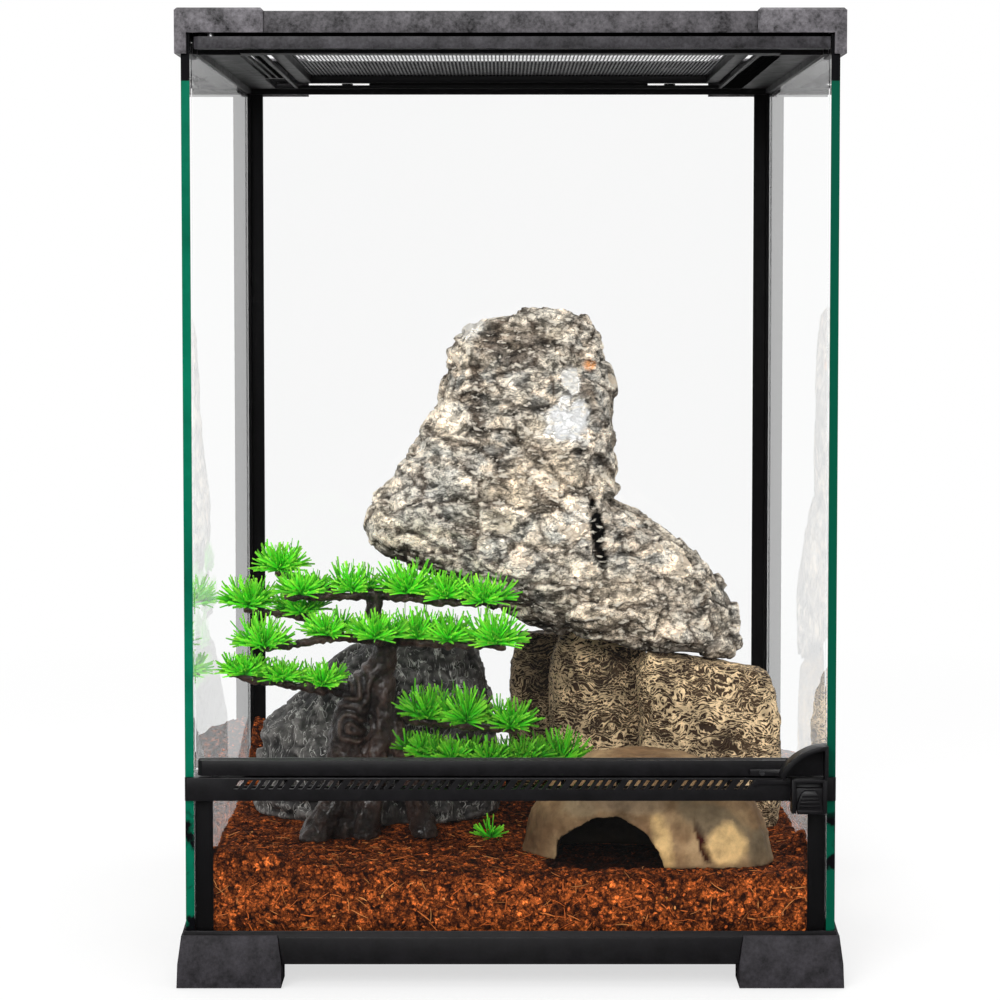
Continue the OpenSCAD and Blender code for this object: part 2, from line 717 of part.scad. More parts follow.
// Point k of n on a level [height, left, right, front, back]; rough eats into the outline
function ring_point(level, k, n, rough, square) =
    let (a = 360 * k / n, c = cos(a), s = sin(a),
         fit = pow(pow(abs(c), square) + pow(abs(s), square), -1 / square),
         eaten = 1 - rough * (0.5 + 0.5 * ripple(a, level[0] * 0.11)) * (1 - pow(abs(c), 6)))
    [(level[1] + level[2]) / 2 + (level[2] - level[1]) / 2 * c * fit * eaten,
     (level[3] + level[4]) / 2 + (level[4] - level[3]) / 2 * s * fit * eaten];

// How far the front stands out at x and height h: marks are [x, height, half width, half height, out]
function relief(marks, x, h, i = 0) = i >= len(marks) ? 0 : let (m = marks[i])
    m[4] * max(0, 1 - pow((x - m[0]) / m[2], 2) - pow((h - m[1]) / m[3], 2)) + relief(marks, x, h, i + 1);

// A closed stone through levels; slope leans every level about seat_x
module loft(levels, z0, n = 24, rough = 0.12, square = 2.6, slope = 0, marks = []) {
    m = len(levels);
    rings = [for (l = levels) for (k = [0:n - 1])
             let (p = ring_point(l, k, n, rough, square), face = max(0, -sin(360 * k / n)))
             [p[0], front_y + p[1] - relief(marks, p[0], l[0]) * face, z0 + l[0] + slope * (p[0] - seat_x)]];
    mids = [for (l = [levels[0], levels[m - 1]]) let (x = (l[1] + l[2]) / 2)
            [x, front_y + (l[3] + l[4]) / 2, z0 + l[0] + slope * (x - seat_x)]];
    sides = [for (j = [0:m - 2]) for (k = [0:n - 1])
             let (a = j * n + k, b = j * n + (k + 1) % n) each [[a, a + n, b + n], [a, b + n, b]]];
    ends = [for (k = [0:n - 1]) let (q = (k + 1) % n) each
            [[m * n, k, q], [m * n + 1, (m - 1) * n + q, (m - 1) * n + k]]];
    polyhedron(concat(rings, mids), concat(sides, ends));
}

// Outline of the upright rock: [share of its height, left, right, front, back]
rock_levels = [
    [0, 10, 116, 132, 198], [0.035, -9, 120, 127, 202], [0.1, -45, 120.5, 124, 206],
    [0.15, -72, 119, 123, 208], [0.225, -75, 113, 124, 208], [0.3, -73, 100, 126, 206],
    [0.355, -66, 88, 128, 204], [0.39, -62, 80, 130, 203],
    [0.41, -60, 50, 131, 202], [0.455, -55.5, 58, 132, 201], [0.56, -45, 57.5, 135, 198],
    [0.67, -36, 55, 137, 196], [0.76, -33, 56, 139, 194], [0.84, -31.5, 54, 141, 192],
    [0.9, -23, 49, 144, 190], [0.955, -4, 46.5, 148, 186], [1, 14, 40, 156, 178]
];

// Hollows and bulges of its front: [x, share of its height, half width, half of that share, out]
rock_marks = [
    [8, 0.78, 24, 0.1, -5], [-22, 0.86, 13, 0.07, 3], [50, 0.66, 15, 0.1, 2], [30, 0.62, 14, 0.08, 2.5],
    [15, 0.47, 28, 0.16, 3], [-45, 0.34, 28, 0.13, 3], [50, 0.29, 10, 0.12, -5], [-48, 0.12, 30, 0.07, -5],
    [90, 0.25, 24, 0.07, 3], [80, 0.15, 38, 0.035, 2.5], [96, 0.08, 26, 0.035, 2.5], [4, 0.2, 24, 0.06, 2.5]
];

// One edge of that outline at a share of the height, with small ledges
function rock_edge(h, i) = px(lookup(h, [for (l = rock_levels) [l[0], l[i]]]))
    + (i == 1 ? 1 : -1) * 0.9 * (1 + sin(2900 * h + 70 * i)) * sin(180 * h);
function rock_face(h, i) = py(lookup(h, [for (l = rock_levels) [l[0], l[i]]]));

module feature_rock() color(rock_grey) {
    n = 28;
    loft([for (k = [0:n]) let (h = k / n)
          [h * rock_h, rock_edge(h, 1), rock_edge(h, 2), rock_face(h, 3), rock_face(h, 4)]],
         seat_z + seat_gap, 36, 0.16, 2.7, seat_slope,
         [for (m = rock_marks) [px(m[0]), m[1] * rock_h, m[2], m[3] * rock_h, m[4]]]);
}

// Ridged stones: boulders, one behind the other, whose tops carry the rock
module ridge_stone(x, y, height, right_slope = 1) {
    r = 0.22 * (x[1] - x[0]);
    intersection() {
        loft([for (s = [[0, 0.06], [0.12, 0], [0.35, 0], [0.55, 0.02], [0.7, 0.08], [0.82, 0.2], [0.92, 0.45],
                        [1, 0.85]])
              [s[0] * height, x[0] + r * s[1], x[1] - right_slope * r * s[1], y[0] + r * s[1], y[1] - r * s[1]]],
             soil_z, 24, 0.03, 3.4);
        translate([seat_x, 0, seat_z]) rotate([0, atan(-seat_slope), 0])
            translate([-tank_w, -tank_d, -2 * ridge_h]) cube([2 * tank_w, 2 * tank_d, 2 * ridge_h]);
    }
}

module ridge_stone_left() color(stone_brown)
    ridge_stone([px(0), px(30)], [py(198) + ridge_gap, py(226)], ridge_h - 4);

module ridge_stone_middle() color(stone_brown)
    ridge_stone([px(21), px(72)], [py(158) + ridge_gap, py(198)], ridge_h + 2);

module ridge_stone_right() color(stone_brown)
    ridge_stone([px(66), px(138)], [py(112), py(158)], ridge_h + 2, 2);

// ---- Cave hide ----

hide_x = px(66);
hide_y = py(54);
hide_d = 0.49 * hide_w;

// Low dome turned a little, its right end nearer the door: [share of its height, edge's share of the length]
module hide_dome(grow, h) {
    translate([hide_x, front_y + hide_y, 0]) rotate([0, 0, -14]) translate([-hide_x, -front_y - hide_y, 0])
        loft([for (s = [[0, 0], [0.2, 0.012], [0.45, 0.048], [0.68, 0.113], [0.86, 0.2], [0.96, 0.275],
                        [1, 0.355]]) let (e = s[1] * hide_w)
              [s[0] * h, hide_x - hide_w / 2 + e - grow, hide_x + hide_w / 2 - e * 1.1 + grow,
               hide_y - hide_d / 2 + e * 0.42 - grow, hide_y + hide_d / 2 - e * 0.42 + grow]],
             soil_z, 24, 0.1, 2.2);
}

module cave_hide() color(resin_tan) difference() {
    hide_dome(0, hide_h);
    translate([0, 0, -1]) hide_dome(-hide_wall, hide_h - hide_wall + 1);
    // Arched mouth, drawn for a hide 124 mm long and 51 mm high
    translate([hide_x - 0.145 * hide_w, front_y + hide_y - 4, soil_z - 1]) rotate([90, 0, 0])
        linear_extrude(hide_d)
            polygon([for (p = [[-26, -1], [25, -1], [22, 9], [15, 18],
                               [4, 24], [-9, 22], [-18, 16], [-24, 12]])
                     [p[0] * hide_w / 124, p[1] * hide_h / 51]]);
}

// ---- Soil ----

function mound(x, y, cx, cy, r, h) = h * pow(max(0, 1 - (pow(x - cx, 2) + pow(y - cy, 2)) / (r * r)), 2);

// Low lumps clear of everything that stands on the soil: [x, y, radius, height]
soil_lumps = [
    [-24, 36, 22, 3], [-62, 34, 26, 2.5], [-100, 50, 24, 3], [-20, 60, 14, 2], [-48, 66, 16, 2],
    [-26, 14, 16, 2], [-62, 8, 22, 2.5], [138, 5, 20, 3], [-84, 254, 26, 4],
    [-34, 246, 24, 3], [-60, 280, 26, 3], [64, 228, 20, 3], [2, 268, 30, 4],
    [46, 262, 26, 3], [96, 216, 24, 4], [92, 258, 26, 3], [128, 222, 26, 4]
];
function lumps(x, y, i = 0) = i >= len(soil_lumps) ? 0 : let (m = soil_lumps[i])
    mound(x, y, px(m[0]), py(m[1]), m[2] * min(px(1), py(1)), m[3]) + lumps(x, y, i + 1);

// Height of the soil; it is flat under everything that stands on it
function soil_top(x, y) = soil_z + lumps(x, y)
    + mound(x, y, -half_w, tank_d, py(74), heap_h * 1.3)
    + mound(x, y, px(-128), 6, 66, 12)
    + mound(x, y, half_w + 8, py(70), 26, 22)
    + mound(x, y, half_w, tank_d, 70, 12);

module substrate() color(soil_brown) {
    n = 30;
    inset = glass_t + pane_gap + post_t + 0.3;
    x0 = -half_w + inset;
    dx = (tank_w - 2 * inset) / n;
    dy = (tank_d - 2 * inset) / n;
    grid = [for (i = [0:n]) for (j = [0:n]) let (x = x0 + i * dx, y = inset + j * dy)
            [x, front_y + y, soil_top(x, y)]];
    edge = concat([for (i = [0:n - 1]) [i, 0]], [for (j = [0:n - 1]) [n, j]],
                  [for (i = [n:-1:1]) [i, n]], [for (j = [n:-1:1]) [0, j]]);
    e = len(edge);
    t = (n + 1) * (n + 1);
    rim = [for (p = edge) [x0 + p[0] * dx, front_y + inset + p[1] * dy, soil_z0]];
    top = [for (i = [0:n - 1]) for (j = [0:n - 1]) let (a = i * (n + 1) + j)
           each [[a, a + 1, a + n + 2], [a, a + n + 2, a + n + 1]]];
    walls = [for (r = [0:e - 1]) let (q = (r + 1) % e, c = edge[r][0] * (n + 1) + edge[r][1],
             d = edge[q][0] * (n + 1) + edge[q][1]) each [[t + r, c, d], [t + r, d, t + q]]];
    under = [for (r = [0:e - 1]) [t + e, t + r, t + (r + 1) % e]];
    polyhedron(concat(grid, rim, [[0, front_y + tank_d / 2, soil_z0]]), concat(top, walls, under));
}

// ---- Bonsai ----

// Dark stone behind the trunk: [share of its height, left, right, front, back]
stone_levels = [
    [0, -133, -4.5, 122, 224], [0.3, -131, -5, 122, 222], [0.5, -128, -7, 125, 218],
    [0.58, -117, -9, 127, 215], [0.7, -105, -11, 129, 211], [0.82, -96, -13, 132, 205],
    [0.93, -81, -17, 137, 197], [1, -70, -24, 144, 186]
];

module bonsai_stone() color([0.25, 0.25, 0.26])
    loft([for (l = stone_levels) [l[0] * stone_h, px(l[1]), px(l[2]), py(l[3]), py(l[4])]],
         soil_z, 26, 0.14, 2.5);

// A place on the tree from x, y and the height above the soil, which are given for a tree of 130 mm
tree_k = tree_h / 130;
function spot(p) = [px(p[0]), py(p[1]), soil_z + p[2] * tree_k];

module limb(a, b, ra, rb, sides = 9) {
    hull() {
        translate([a[0], front_y + a[1], a[2]]) sphere(r = ra, $fn = sides);
        translate([b[0], front_y + b[1], b[2]]) sphere(r = rb, $fn = sides);
    }
}

module limbs(points, r0, r1) {
    m = len(points) - 1;
    for (k = [0:m - 1])
        limb(spot(points[k]), spot(points[k + 1]), r0 + (r1 - r0) * k / m, r0 + (r1 - r0) * (k + 1) / m);
}

module trunk() intersection() {
    union() {
        limbs([[-83, 102, 2], [-82, 104, 34], [-81, 105, 56], [-74, 106, 72], [-63, 107, 86],
               [-61, 106, 97], [-68, 105, 110], [-67, 104, 120]], trunk_r, 3.4);
        limbs([[-72, 98, 0], [-68, 102, 32], [-64, 104, 54], [-62, 106, 76]], 8, 5);
        limbs([[-42, 100, 0], [-50, 104, 30], [-58, 106, 58]], 7, 5);
        limbs([[-97, 90, 0], [-88, 96, 16], [-82, 102, 34]], 8, 6);
    }
    slab([-half_w, half_w], [0, tank_d], [soil_z, overall_h]);
}

// Branches, each a chain of points
branch_paths = [
    [[-66, 104, 121], [-84, 100, 120], [-110, 96, 120]],
    [[-66, 104, 121], [-48, 100, 119], [-14, 98, 116]],
    [[-84, 100, 120], [-98, 112, 126], [-116, 116, 130]],
    [[-62, 106, 98], [-84, 98, 100], [-104, 90, 98], [-122, 88, 95]],
    [[-84, 98, 100], [-99, 114, 107], [-131, 113, 112]],
    [[-62, 106, 98], [-40, 96, 97], [-4, 92, 96]],
    [[-62, 106, 98], [-66, 88.5, 99]],
    [[-74, 106, 72], [-96, 98, 74], [-118, 94, 78], [-138, 92, 82]],
    [[-58, 106, 62], [-44, 92, 59], [-22, 84, 58], [2, 82, 56]],
    [[-56, 104, 42], [-34, 88, 38], [-8, 84, 38], [28, 104, 34]]
];
branch_r0 = branch_r * 1.3;
branch_r1 = branch_r * 0.8;

module bonsai_wood() color(bark) union() {
    trunk();
    for (p = branch_paths) limbs(p, branch_r0, branch_r1);
}

// Point at s links along a chain of points, and the chain's thickness there
function along(path, s) =
    let (k = min(floor(s), len(path) - 2)) path[k] + (s - k) * (path[k + 1] - path[k]);
function thickness(path, s) = branch_r0 + (branch_r1 - branch_r0) * s / (len(path) - 1);

tuft_foot = 0.8;

// A tuft of needles that fan out from a small cone of backing
module tuft(p, r, h) translate([p[0], front_y + p[1], p[2]]) {
    translate([0, 0, -tuft_foot]) cylinder(r1 = 1.2, r2 = 2.4, h = 2.4, $fn = 8);
    for (k = [0:needles - 1]) {
        tilt = 8 + 54 * sqrt((k + 0.5) / needles);
        reach = 1 / sqrt(pow(sin(tilt) / r, 2) + pow(cos(tilt) / h, 2));
        rotate([0, tilt, 137.5 * k + 7 * p[0]])
            cylinder(r1 = needle_r, r2 = needle_r * 0.5, h = reach, $fn = 3);
    }
}

// Tufts on top of their branches: [branch, place along it, reach sideways, reach upwards]
module tufts(places) for (t = places) {
    path = branch_paths[t[0]];
    lift = 0.95 * thickness(path, t[1]) + tuft_foot + seat_gap;
    tuft(spot(along(path, t[1])) + [0, 0, lift], t[2] * tree_k, t[3] * tree_k);
}

module needles_top() color(leaf_green)
    tufts([[2, 2, 14, 14], [0, 1.75, 12, 12], [0, 0.7, 9, 17],
           [1, 0.8, 16, 17], [1, 1.45, 11, 14], [1, 2, 12, 14]]);

module needles_middle() color(leaf_green)
    tufts([[4, 2, 14, 16], [4, 1.2, 10, 14], [3, 3, 12, 18], [3, 1.35, 11, 13], [6, 1, 12, 15],
           [5, 0.7, 12, 16], [5, 1.25, 9, 16], [5, 1.9, 14, 19]]);

module needles_lower_left() color(leaf_green)
    tufts([[7, 2.7, 12, 10], [7, 1.8, 12, 11], [7, 0.9, 10, 12]]);

module needles_lower_right() color(leaf_green)
    tufts([[8, 1.15, 12, 18], [8, 2, 14, 20], [8, 2.9, 12, 15]]);

module needles_bottom() color(leaf_green)
    tufts([[9, 0.55, 10, 12], [9, 1.2, 12, 13], [9, 1.9, 11, 13], [9, 2.35, 11, 15], [9, 2.9, 14, 20]]);

module plant_sprig() color(leaf_green) intersection() {
    tuft([px(-11), py(100), soil_z + tuft_foot], 9, 12);
    slab([-half_w, half_w], [0, tank_d], [soil_z, overall_h]);
}

base_frame();
foot(false, false);  // foot_front_left
foot(true, false);  // foot_front_right
foot(false, true);  // foot_rear_left
foot(true, true);  // foot_rear_right
bottom_glass();
side_glass(-1);  // side_glass_left
side_glass(1);  // side_glass_right
rear_glass();
front_lower_glass();
post(false, true, skirt_z);  // rear_post_left
post(true, true, skirt_z);  // rear_post_right
post(false, false, vent_z);  // front_post_left
post(true, false, vent_z);  // front_post_right
vent_strip();
top_frame();
cap(false, false);  // cap_front_left
cap(true, false);  // cap_front_right
cap(false, true);  // cap_rear_left
cap(true, true);  // cap_rear_right
lid_frame();
lid_mesh();
lid_lock(-1);  // lid_lock_left
lid_lock(1);  // lid_lock_right
port_slider(-1);  // port_slider_left
port_slider(1);  // port_slider_right
door_glass();
door_top_rail();
door_bottom_rail();
door_handle();
handle_screw();
hinge_pin_top();
hinge_pin_bottom();
lock_housing();
lock_slide();
substrate();
feature_rock();
ridge_stone_left();
ridge_stone_middle();
ridge_stone_right();
cave_hide();
bonsai_stone();
bonsai_wood();
needles_top();
needles_middle();
needles_lower_left();
needles_lower_right();
needles_bottom();
plant_sprig();
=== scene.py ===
"""Looks of a tall glass terrarium: its mouldings, panes, mesh lid and planted interior."""

import logging
import math
import random
from dataclasses import dataclass, field
from enum import Enum
from typing import Callable, Iterable, Sequence

import bmesh
import bpy
import numpy as np
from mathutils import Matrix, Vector, noise
from mathutils.bvhtree import BVHTree


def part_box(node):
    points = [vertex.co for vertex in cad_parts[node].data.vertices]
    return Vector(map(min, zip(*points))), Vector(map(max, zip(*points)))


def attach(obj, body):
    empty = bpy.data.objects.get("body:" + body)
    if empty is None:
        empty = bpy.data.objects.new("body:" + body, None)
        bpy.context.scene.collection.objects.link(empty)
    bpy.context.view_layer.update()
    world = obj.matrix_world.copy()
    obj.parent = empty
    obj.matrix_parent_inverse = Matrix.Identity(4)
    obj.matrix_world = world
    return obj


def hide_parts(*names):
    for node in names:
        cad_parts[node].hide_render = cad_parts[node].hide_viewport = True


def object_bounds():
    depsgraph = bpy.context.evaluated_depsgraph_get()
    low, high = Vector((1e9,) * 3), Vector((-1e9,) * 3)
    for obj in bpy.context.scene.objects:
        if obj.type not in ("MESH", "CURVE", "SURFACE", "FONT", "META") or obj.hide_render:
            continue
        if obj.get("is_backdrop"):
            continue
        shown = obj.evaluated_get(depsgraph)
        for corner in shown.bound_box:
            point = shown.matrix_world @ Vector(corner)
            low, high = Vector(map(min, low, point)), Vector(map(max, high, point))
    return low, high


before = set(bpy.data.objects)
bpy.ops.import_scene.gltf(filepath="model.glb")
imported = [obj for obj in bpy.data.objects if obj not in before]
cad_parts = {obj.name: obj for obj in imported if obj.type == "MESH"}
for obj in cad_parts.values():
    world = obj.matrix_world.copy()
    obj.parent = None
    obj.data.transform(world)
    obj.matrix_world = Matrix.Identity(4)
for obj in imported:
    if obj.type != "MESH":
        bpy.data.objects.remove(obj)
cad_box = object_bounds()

log = logging.getLogger("terrarium")

MM = 0.001
MERGE = 0.02 * MM
NOISE_SEED = 12
GOLDEN_ANGLE = math.radians(137.5)
TINT = "tint"
CORNERS = ("front_left", "front_right", "rear_left", "rear_right")
Colour = tuple[float, float, float]

FRONT_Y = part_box("side_glass_left")[0].y
TANK_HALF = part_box("side_glass_right")[1].x
SOIL_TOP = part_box("cave_hide")[0].z


class Body(str, Enum):
    """Names of the moving groups."""

    CABINET = "cabinet"
    DOOR = "door"
    LOCK = "lock"
    LID = "lid"
    TAB_LEFT = "lid_tab_left"
    TAB_RIGHT = "lid_tab_right"
    PORT_LEFT = "port_left"
    PORT_RIGHT = "port_right"


class Slot(str, Enum):
    """Names of material slots."""

    BLACK = "black_plastic"
    CHARCOAL = "charcoal"
    GLASS = "glass"
    STEEL = "steel"
    SOIL = "soil"
    GREY_ROCK = "grey_rock"
    BROWN_STONE = "brown_stone"
    TAN_RESIN = "tan_resin"
    DARK_STONE = "dark_stone"
    BARK = "bark"
    GREEN = "green_plastic"


def place(x: float, depth: float, z: float) -> Vector:
    """A point from X, depth behind the panes' front edges and Z."""
    return Vector((x * MM, FRONT_Y + depth * MM, z * MM))


def plan_mm(points: np.ndarray) -> np.ndarray:
    """Turns points in metres into X, depth and Z in millimetres.

    Args:
        points: Array of points, one row each, in the frame.

    Returns:
        An array of the same shape, in millimetres, with depth in its second column.
    """
    moved = points / MM
    moved[:, 1] -= FRONT_Y / MM
    return moved


# ---------------------------------------------------------------------------------------------
# Shader graphs
# ---------------------------------------------------------------------------------------------


class Graph:
    """A node tree that is being wired up."""

    def __init__(self, tree: bpy.types.NodeTree) -> None:
        """Starts on a tree."""
        self.tree = tree

    def node(self, kind: str, settings: dict | None = None, **inputs: object) -> bpy.types.Node:
        """Adds a node.

        Args:
            kind: The node's type.
            settings: Properties to set on the node.
            **inputs: Values or output sockets for its inputs, with underscores for spaces; an index is
                written as _0, _1 and so on.

        Returns:
            The new node.
        """
        made = self.tree.nodes.new(kind)
        for name, value in (settings or {}).items():
            setattr(made, name, value)
        for name, value in inputs.items():
            key = int(name[1:]) if name[1:].isdigit() and name[0] == "_" else name.replace("_", " ")
            self.feed(made.inputs[key], value)
        return made

    def feed(self, socket: bpy.types.NodeSocket, value: object) -> None:
        """Links an output to a socket, or sets the socket's value.

        Args:
            socket: The input socket.
            value: An output socket, a number or a colour.
        """
        if isinstance(value, bpy.types.NodeSocket):
            self.tree.links.new(value, socket)
        elif isinstance(value, tuple) and len(value) == 3 and socket.type == "RGBA":
            socket.default_value = (*value, 1.0)
        else:
            socket.default_value = value

    def math(self, operation: str, first: object, second: object = 0.0) -> bpy.types.NodeSocket:
        """Output of a math node."""
        return self.node("ShaderNodeMath", {"operation": operation}, _0=first, _1=second).outputs[0]

    def times(self, first: object, second: object) -> bpy.types.NodeSocket:
        """The product of two values or sockets."""
        return self.math("MULTIPLY", first, second)

    def plus(self, first: object, second: object) -> bpy.types.NodeSocket:
        """The sum of two values or sockets."""
        return self.math("ADD", first, second)

    def less(self, first: object, second: object) -> bpy.types.NodeSocket:
        """The first value or socket less the second."""
        return self.math("SUBTRACT", first, second)

    def highest(self, first: object, second: object) -> bpy.types.NodeSocket:
        """The higher of two values or sockets."""
        return self.math("MAXIMUM", first, second)

    def scaled(self, value: object, factor: object, offset: object) -> bpy.types.NodeSocket:
        """Output of a node that multiplies a value and adds an offset."""
        return self.node("ShaderNodeMath", {"operation": "MULTIPLY_ADD"}, _0=value, _1=factor, _2=offset).outputs[0]

    def spot(self) -> bpy.types.NodeSocket:
        """Object coordinates."""
        return self.node("ShaderNodeTexCoord").outputs["Object"]

    def cloud(self, spot: object, scale: object, detail: float = 2.0, roughness: float = 0.5) -> bpy.types.NodeSocket:
        """Output of a noise texture."""
        return self.node("ShaderNodeTexNoise", Vector=spot, Scale=scale, Detail=detail, Roughness=roughness).outputs[0]

    def grey(self, level: object) -> bpy.types.NodeSocket:
        """A level as a grey colour."""
        return self.node("ShaderNodeCombineXYZ", X=level, Y=level, Z=level).outputs[0]

    def mix(self, factor: object, first: object, second: object, blend: str = "MIX") -> bpy.types.NodeSocket:
        """Output of a colour mix.

        Args:
            factor: Share of the second colour.
            first: First colour or socket.
            second: Second colour or socket.
            blend: Blend mode.

        Returns:
            The mixed colour's socket.
        """
        made = self.node("ShaderNodeMix", {"data_type": "RGBA", "blend_type": blend})
        self.feed(made.inputs[0], factor)
        self.feed(made.inputs[6], first)
        self.feed(made.inputs[7], second)
        return made.outputs[2]

    def ramp(self, value: bpy.types.NodeSocket, low: float, high: float) -> bpy.types.NodeSocket:
        """A value stretched to 0 at low and 1 at high."""
        made = self.node("ShaderNodeMapRange", _0=value, _1=low, _2=high)
        return made.outputs[0]


def make_group(name: str, inputs: dict[str, tuple[str, object]], outputs: dict[str, str],
               wire: Callable[[Graph, bpy.types.Node, bpy.types.Node], None]) -> bpy.types.NodeTree:
    """Makes a shader group once, and returns it.

    Args:
        name: The group's name.
        inputs: Input names with their socket types and defaults.
        outputs: Output names with their socket types.
        wire: Function that adds the group's nodes between its input and output nodes.

    Returns:
        The group's tree.
    """
    if name in bpy.data.node_groups:
        return bpy.data.node_groups[name]
    tree = bpy.data.node_groups.new(name, "ShaderNodeTree")
    for label, (kind, default) in inputs.items():
        tree.interface.new_socket(label, in_out="INPUT", socket_type=kind).default_value = default
    for label, kind in outputs.items():
        tree.interface.new_socket(label, in_out="OUTPUT", socket_type=kind)
    wire(Graph(tree), tree.nodes.new("NodeGroupInput"), tree.nodes.new("NodeGroupOutput"))
    return tree


FLOAT = "NodeSocketFloat"
COLOUR = "NodeSocketColor"


def grain_group() -> bpy.types.NodeTree:
    """Fine moulded or mineral grain: a height, and a mask of its broader patches."""

    def wire(graph: Graph, entry: bpy.types.Node, leave: bpy.types.Node) -> None:
        """Adds two sizes of noise and mixes them."""
        spot = graph.spot()
        fine = graph.cloud(spot, entry.outputs["Scale"], 4.0)
        broad = graph.cloud(spot, graph.times(entry.outputs["Scale"], 0.11), 3.0)
        graph.feed(leave.inputs["Height"], graph.scaled(broad, entry.outputs["Broad"], fine))
        graph.feed(leave.inputs["Patches"], graph.ramp(broad, 0.35, 0.65))

    return make_group("fine_grain", {"Scale": (FLOAT, 900.0), "Broad": (FLOAT, 0.4)},
                      {"Height": FLOAT, "Patches": FLOAT}, wire)


def dust_group() -> bpy.types.NodeTree:
    """Pale dust on faces that look upwards, with a mask for roughness."""

    def wire(graph: Graph, entry: bpy.types.Node, leave: bpy.types.Node) -> None:
        """Adds the upward mask, breaks it up with noise and tints the colour."""
        geometry = graph.node("ShaderNodeNewGeometry")
        upward = graph.node("ShaderNodeSeparateXYZ", Vector=geometry.outputs["Normal"]).outputs["Z"]
        spot = graph.spot()
        patchy = graph.cloud(spot, 240.0, 5.0)
        mask = graph.times(graph.ramp(upward, 0.35, 1.0), graph.ramp(patchy, 0.3, 0.75))
        mask = graph.times(mask, entry.outputs["Amount"])
        graph.feed(leave.inputs["Color"], graph.mix(mask, entry.outputs["Color"], entry.outputs["Dust"]))
        graph.feed(leave.inputs["Mask"], mask)

    return make_group("settled_dust",
                      {"Color": (COLOUR, (0, 0, 0, 1)), "Dust": (COLOUR, (0.4, 0.38, 0.36, 1)), "Amount": (FLOAT, 0.1)},
                      {"Color": COLOUR, "Mask": FLOAT}, wire)


def mottle_group() -> bpy.types.NodeTree:
    """A colour broken up by two sizes of noise."""

    def wire(graph: Graph, entry: bpy.types.Node, leave: bpy.types.Node) -> None:
        """Multiplies the colour by soft noise around 1."""
        spot = graph.spot()
        small = graph.cloud(spot, entry.outputs["Scale"], 6.0, 0.65)
        large_scale = graph.times(entry.outputs["Scale"], 0.18)
        large = graph.cloud(spot, large_scale, 4.0)
        both = graph.plus(small, large)
        swing = graph.times(graph.less(both, 1.0), entry.outputs["Contrast"])
        level = graph.plus(swing, 1.0)
        tone = graph.grey(level)
        graph.feed(leave.inputs["Color"], graph.mix(1.0, entry.outputs["Color"], tone, "MULTIPLY"))
        graph.feed(leave.inputs["Height"], small)

    return make_group("mottled", {"Color": (COLOUR, (0.5, 0.5, 0.5, 1)), "Scale": (FLOAT, 300.0),
                                  "Contrast": (FLOAT, 1.0)},
                      {"Color": COLOUR, "Height": FLOAT}, wire)


def bent_spot(graph: Graph, size: float, reach: float) -> bpy.types.NodeSocket:
    """Object coordinates bent by noise.

    Args:
        graph: The group's graph.
        size: Scale of the noise.
        reach: How far points move, in metres.

    Returns:
        The coordinates' socket.
    """
    spot = graph.spot()
    swirl = graph.node("ShaderNodeTexNoise", Vector=spot, Scale=size, Detail=2.0).outputs["Color"]
    centred = graph.node("ShaderNodeVectorMath", {"operation": "SUBTRACT"}, _0=swirl, _1=(0.5, 0.5, 0.5)).outputs[0]
    moved = graph.node("ShaderNodeVectorMath", {"operation": "SCALE"}, _0=centred, Scale=reach * 2.0).outputs[0]
    return graph.node("ShaderNodeVectorMath", {"operation": "ADD"}, _0=spot, _1=moved).outputs[0]


def crag_group() -> bpy.types.NodeTree:
    """Broken, layered stone: cracks in painted shade, pale ridges of painted highlight beside them, and a height."""

    def wire(graph: Graph, entry: bpy.types.Node, leave: bpy.types.Node) -> None:
        """Adds layered noise and creases, paints shade in the creases and a highlight beside them; near white stays
        clean.
        """
        spot = bent_spot(graph, 70.0, 0.0032)
        layered = graph.node("ShaderNodeMapping", Vector=spot, Rotation=(0.0, 0.42, 0.0), Scale=(1.0, 1.0, 1.9))
        mass = graph.cloud(layered.outputs[0], entry.outputs["Scale"], 9.0, 0.66)
        other_scale = graph.times(entry.outputs["Scale"], 2.1)
        other = graph.cloud(layered.outputs[0], other_scale, 5.0, 0.55)
        fine = graph.cloud(spot, 850.0, 6.0, 0.75)
        crease_shade = graph.ramp(graph.math("ABSOLUTE", graph.less(other, 0.5)), 0.0, 0.035)
        light = graph.scaled(graph.ramp(mass, 0.40, 0.60), 2.25, 0.42)
        # painted shade: darkens the colour in each crease
        crack_shade = graph.scaled(crease_shade, 0.65, 0.35)
        speckle = graph.scaled(graph.ramp(fine, 0.32, 0.68), 1.0, 0.5)
        level = graph.times(graph.times(light, crack_shade), speckle)
        brightness = graph.node("ShaderNodeSeparateColor", _0=entry.outputs["Color"]).outputs[0]
        clean = graph.ramp(brightness, 0.62, 0.76)
        level = graph.node("ShaderNodeMix", _0=clean, _2=level, _3=0.97).outputs[0]
        tone = graph.grey(level)
        dark = graph.mix(1.0, entry.outputs["Color"], tone, "MULTIPLY")
        # painted highlight: a pale band beside each crease
        pale = graph.times(graph.ramp(other, 0.57, 0.64), 0.75)
        graph.feed(leave.inputs["Color"], graph.mix(pale, dark, (0.88, 0.81, 0.69)))
        high = graph.scaled(mass, 0.9, graph.times(crease_shade, 0.16))
        graph.feed(leave.inputs["Height"], graph.plus(high, graph.times(fine, 0.14)))

    return make_group("cragged", {"Color": (COLOUR, (0.5, 0.5, 0.5, 1)), "Scale": (FLOAT, 75.0)},
                      {"Color": COLOUR, "Height": FLOAT}, wire)


